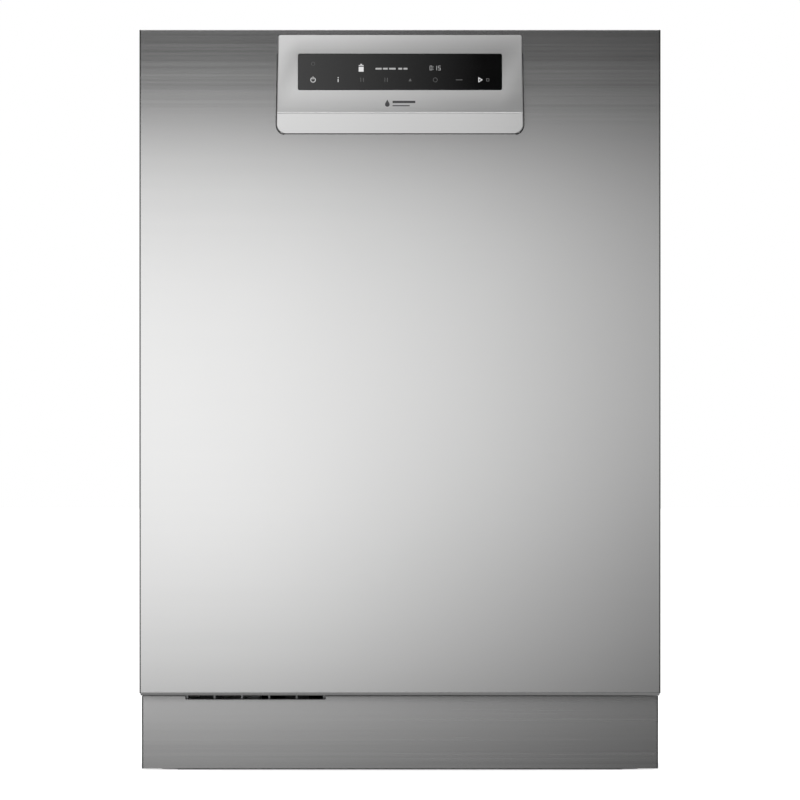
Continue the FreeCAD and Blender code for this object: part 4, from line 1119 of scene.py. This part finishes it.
def soft_card(name, y, layers):
    """Upright light panel in front of the door, its brightness a sum of layers: a strength, and stops of
    (metres, level) across and up. The first layer gives its size."""
    across, up = layers[0][1:]
    x0, x1, z0, z1 = across[0][0], across[-1][0], up[0][0], up[-1][0]
    obj = rectangle(name, [(x0, y, z0), (x1, y, z0), (x1, y, z1), (x0, y, z1)])
    material = bpy.data.materials.new(name + "_glow")
    material.use_nodes = True
    nodes, links = material.node_tree.nodes, material.node_tree.links
    nodes.clear()
    place = add_node(nodes, "TexCoord")
    split = add_node(nodes, "SeparateXYZ")
    links.new(place.outputs["Object"], split.inputs["Vector"])
    total = 0.0
    for strength, across, up in layers:
        both = calculate(nodes, links, "MULTIPLY", level_along(nodes, links, split.outputs["X"], across),
                         level_along(nodes, links, split.outputs["Z"], up))
        total = calculate(nodes, links, "MULTIPLY_ADD", both, strength, total)
    glow = add_node(nodes, "Emission")
    links.new(total, glow.inputs["Strength"])
    out = add_node(nodes, "OutputMaterial")
    links.new(glow.outputs["Emission"], out.inputs["Surface"])
    obj.data.materials.append(material)
    obj.visible_camera = False
    obj.visible_shadow = False
    obj.visible_diffuse = False


def area_light(name, location, target, size, power):
    """Soft box aimed at a point."""
    data = bpy.data.lights.new(name, "AREA")
    data.shape = "RECTANGLE"
    data.size, data.size_y = size
    data.energy = power
    obj = add_object(name, data)
    obj.location = location
    obj.rotation_mode = "QUATERNION"
    obj.rotation_quaternion = (Vector(target) - Vector(location)).to_track_quat("-Z", "Y")
    obj.visible_camera = False


def make_world():
    """White surround that gives soft ambient light. Metal mirrors a darker one, darkest ahead of the door."""
    world = bpy.data.worlds.new("studio")
    bpy.context.scene.world = world
    world.use_nodes = True
    nodes, links = world.node_tree.nodes, world.node_tree.links
    nodes.clear()
    path = add_node(nodes, "LightPath")
    direction = add_node(nodes, "TexCoord")
    split = add_node(nodes, "SeparateXYZ")
    around = add_node(nodes, "MapRange", From_Min=-0.95, From_Max=-0.84, To_Min=0.04, To_Max=0.33)
    mirrored = add_node(nodes, "Background")
    links.new(direction.outputs["Generated"], split.inputs["Vector"])
    links.new(split.outputs["Y"], around.inputs["Value"])
    links.new(around.outputs["Result"], mirrored.inputs["Strength"])
    white = add_node(nodes, "Background", Color=WHITE, Strength=1.0)
    surround = add_node(nodes, "MixShader")
    links.new(path.outputs["Is Glossy Ray"], surround.inputs["Fac"])
    links.new(white.outputs["Background"], surround.inputs[1])
    links.new(mirrored.outputs["Background"], surround.inputs[2])
    out = add_node(nodes, "OutputWorld")
    links.new(surround.outputs["Shader"], out.inputs["Surface"])


def make_floor():
    """Plain pale floor."""
    reach = 60.0
    obj = rectangle("floor", [(-reach, -reach, 0), (reach, -reach, 0), (reach, reach, 0), (-reach, reach, 0)])
    g = Graph("pale_floor", roughness=0.8)
    g.colour(g.ramp(g.noise((2.0, 2.0, 2.0)), 0.0, 1.0), tone(0.86), tone(0.88))
    g.shader.inputs["Specular IOR Level"].default_value = 0.1
    g.shader.inputs["Emission Color"].default_value = WHITE
    g.shader.inputs["Emission Strength"].default_value = 0.45
    obj.data.materials.append(g.material)
    obj.visible_glossy = False


def make_camera():
    """Long lens, square to the door, level with the middle of the picture."""
    distance = 25.0
    picture_width = 0.915
    eye_level = 0.4236
    data = bpy.data.cameras.new("camera")
    data.sensor_width = 36.0
    data.lens = data.sensor_width * distance / picture_width
    data.clip_end = 300.0
    obj = add_object("camera", data)
    obj.location = (0.0, FACE_Y - distance, eye_level)
    obj.rotation_euler = (math.radians(90), 0, 0)
    bpy.context.scene.camera = obj
    bpy.context.scene.view_settings.view_transform = "Standard"


def make_lights():
    """Shaped cards in front of the door give the brushed steel its gradient; soft boxes light the rest."""
    card_y = FACE_Y - 1.1
    front = (1.36, [(-1.1, 0.53), (-0.6, 0.97), (-0.22, 1.0), (0.3, 0.34), (0.6, 0.0), (1.1, 0.0)],
             [(-0.05, 0.0), (0.09, 0.72), (0.28, 1.0), (0.56, 0.97), (0.74, 0.8), (0.77, 0.0), (0.84, 0.0)])
    middle = (0.17, [(-0.18, 0.0), (0.08, 1.0), (0.5, 1.0), (1.0, 0.0)],
              [(0.2, 0.0), (0.38, 1.0), (0.6, 1.0), (0.76, 0.0)])
    soft_card("front_card", card_y, [front, middle])
    soft_card("upper_card", card_y,
              [(1.4, [(-0.6, 0.0), (-0.42, 0.8), (-0.12, 0.95), (0.0, 0.42), (0.1, 0.04), (0.7, 0.0)],
                [(1.08, 0.0), (1.13, 1.0), (1.34, 1.0), (1.4, 0.0)])])
    soft_card("high_card", card_y,
              [(2.2, [(-0.9, 0.2), (-0.4, 1.0), (0.4, 1.0), (0.9, 0.2)],
                [(1.34, 0.0), (1.42, 1.0), (2.0, 1.0), (2.3, 0.0)])])
    center, top = (0, 0, 0.4), (0, 0, 0.8)
    area_light("left_box", (-2.6, 0.9, 1.3), center, (3.0, 2.4), 16)
    area_light("right_box", (2.6, 0.9, 1.2), center, (3.0, 2.4), 13)
    area_light("back_box", (0.6, 2.8, 1.5), center, (3.0, 2.4), 16)
    area_light("top_box", (0.0, 0.6, 2.8), top, (2.4, 2.4), 18)


# ---------------------------------------------------------------- carried-over CAD nodes

def finish_cad_nodes():
    """Materials for all CAD nodes, and rounded edges for all but the wire ones, which are replaced."""
    fine = 0.4 * MM
    widths = {"door_panel": 1.6 * MM, "kick_plate": 1.0 * MM, "top_panel": 0.3 * MM, "base_tray": 1.0 * MM,
              "circulation_pump": 2.0 * MM, "drain_pump": 1.5 * MM, "tub": 0.45 * MM}
    for name, obj in NODES.items():
        paint(obj, MATERIALS[SLOT_OF[name]])
        if name not in ("lower_rack", "upper_rack", "folding_tines"):
            soften(obj, widths.get(name, fine))


make_camera()
make_world()
make_lights()
make_floor()
finish_cad_nodes()
make_fascia()
make_window_corners()
make_door_hem()
make_glass()
make_symbols()
make_mark()
make_gap_painted_shade()
make_liner()
make_rack("lower_rack", floor_z=206 * MM, rim_zs=(330 * MM, 268 * MM), tine_rows=(2, 5, 8),
          tine_xs=spread(-205 * MM, -70 * MM, 6), tine_height=72 * MM)
make_rack("upper_rack", floor_z=470 * MM, rim_zs=(562 * MM,), tine_rows=(1, 3, 5, 7, 9),
          tine_xs=spread(-150 * MM, 70 * MM, 3), tine_height=52 * MM)
make_folding_tines()
make_wheels("rack_wheels_front")
make_wheels("rack_wheels_rear")
make_arm("lower_spray_arm")
make_arm("upper_spray_arm")
make_springs()
for side in SIDES:
    make_side_panel(side)
make_back_panel()
make_screws()
for foot in ("foot_front_left", "foot_front_right", "foot_rear"):
    make_foot(foot)
make_connections()
make_tub_fillets()
make_filter_rims()
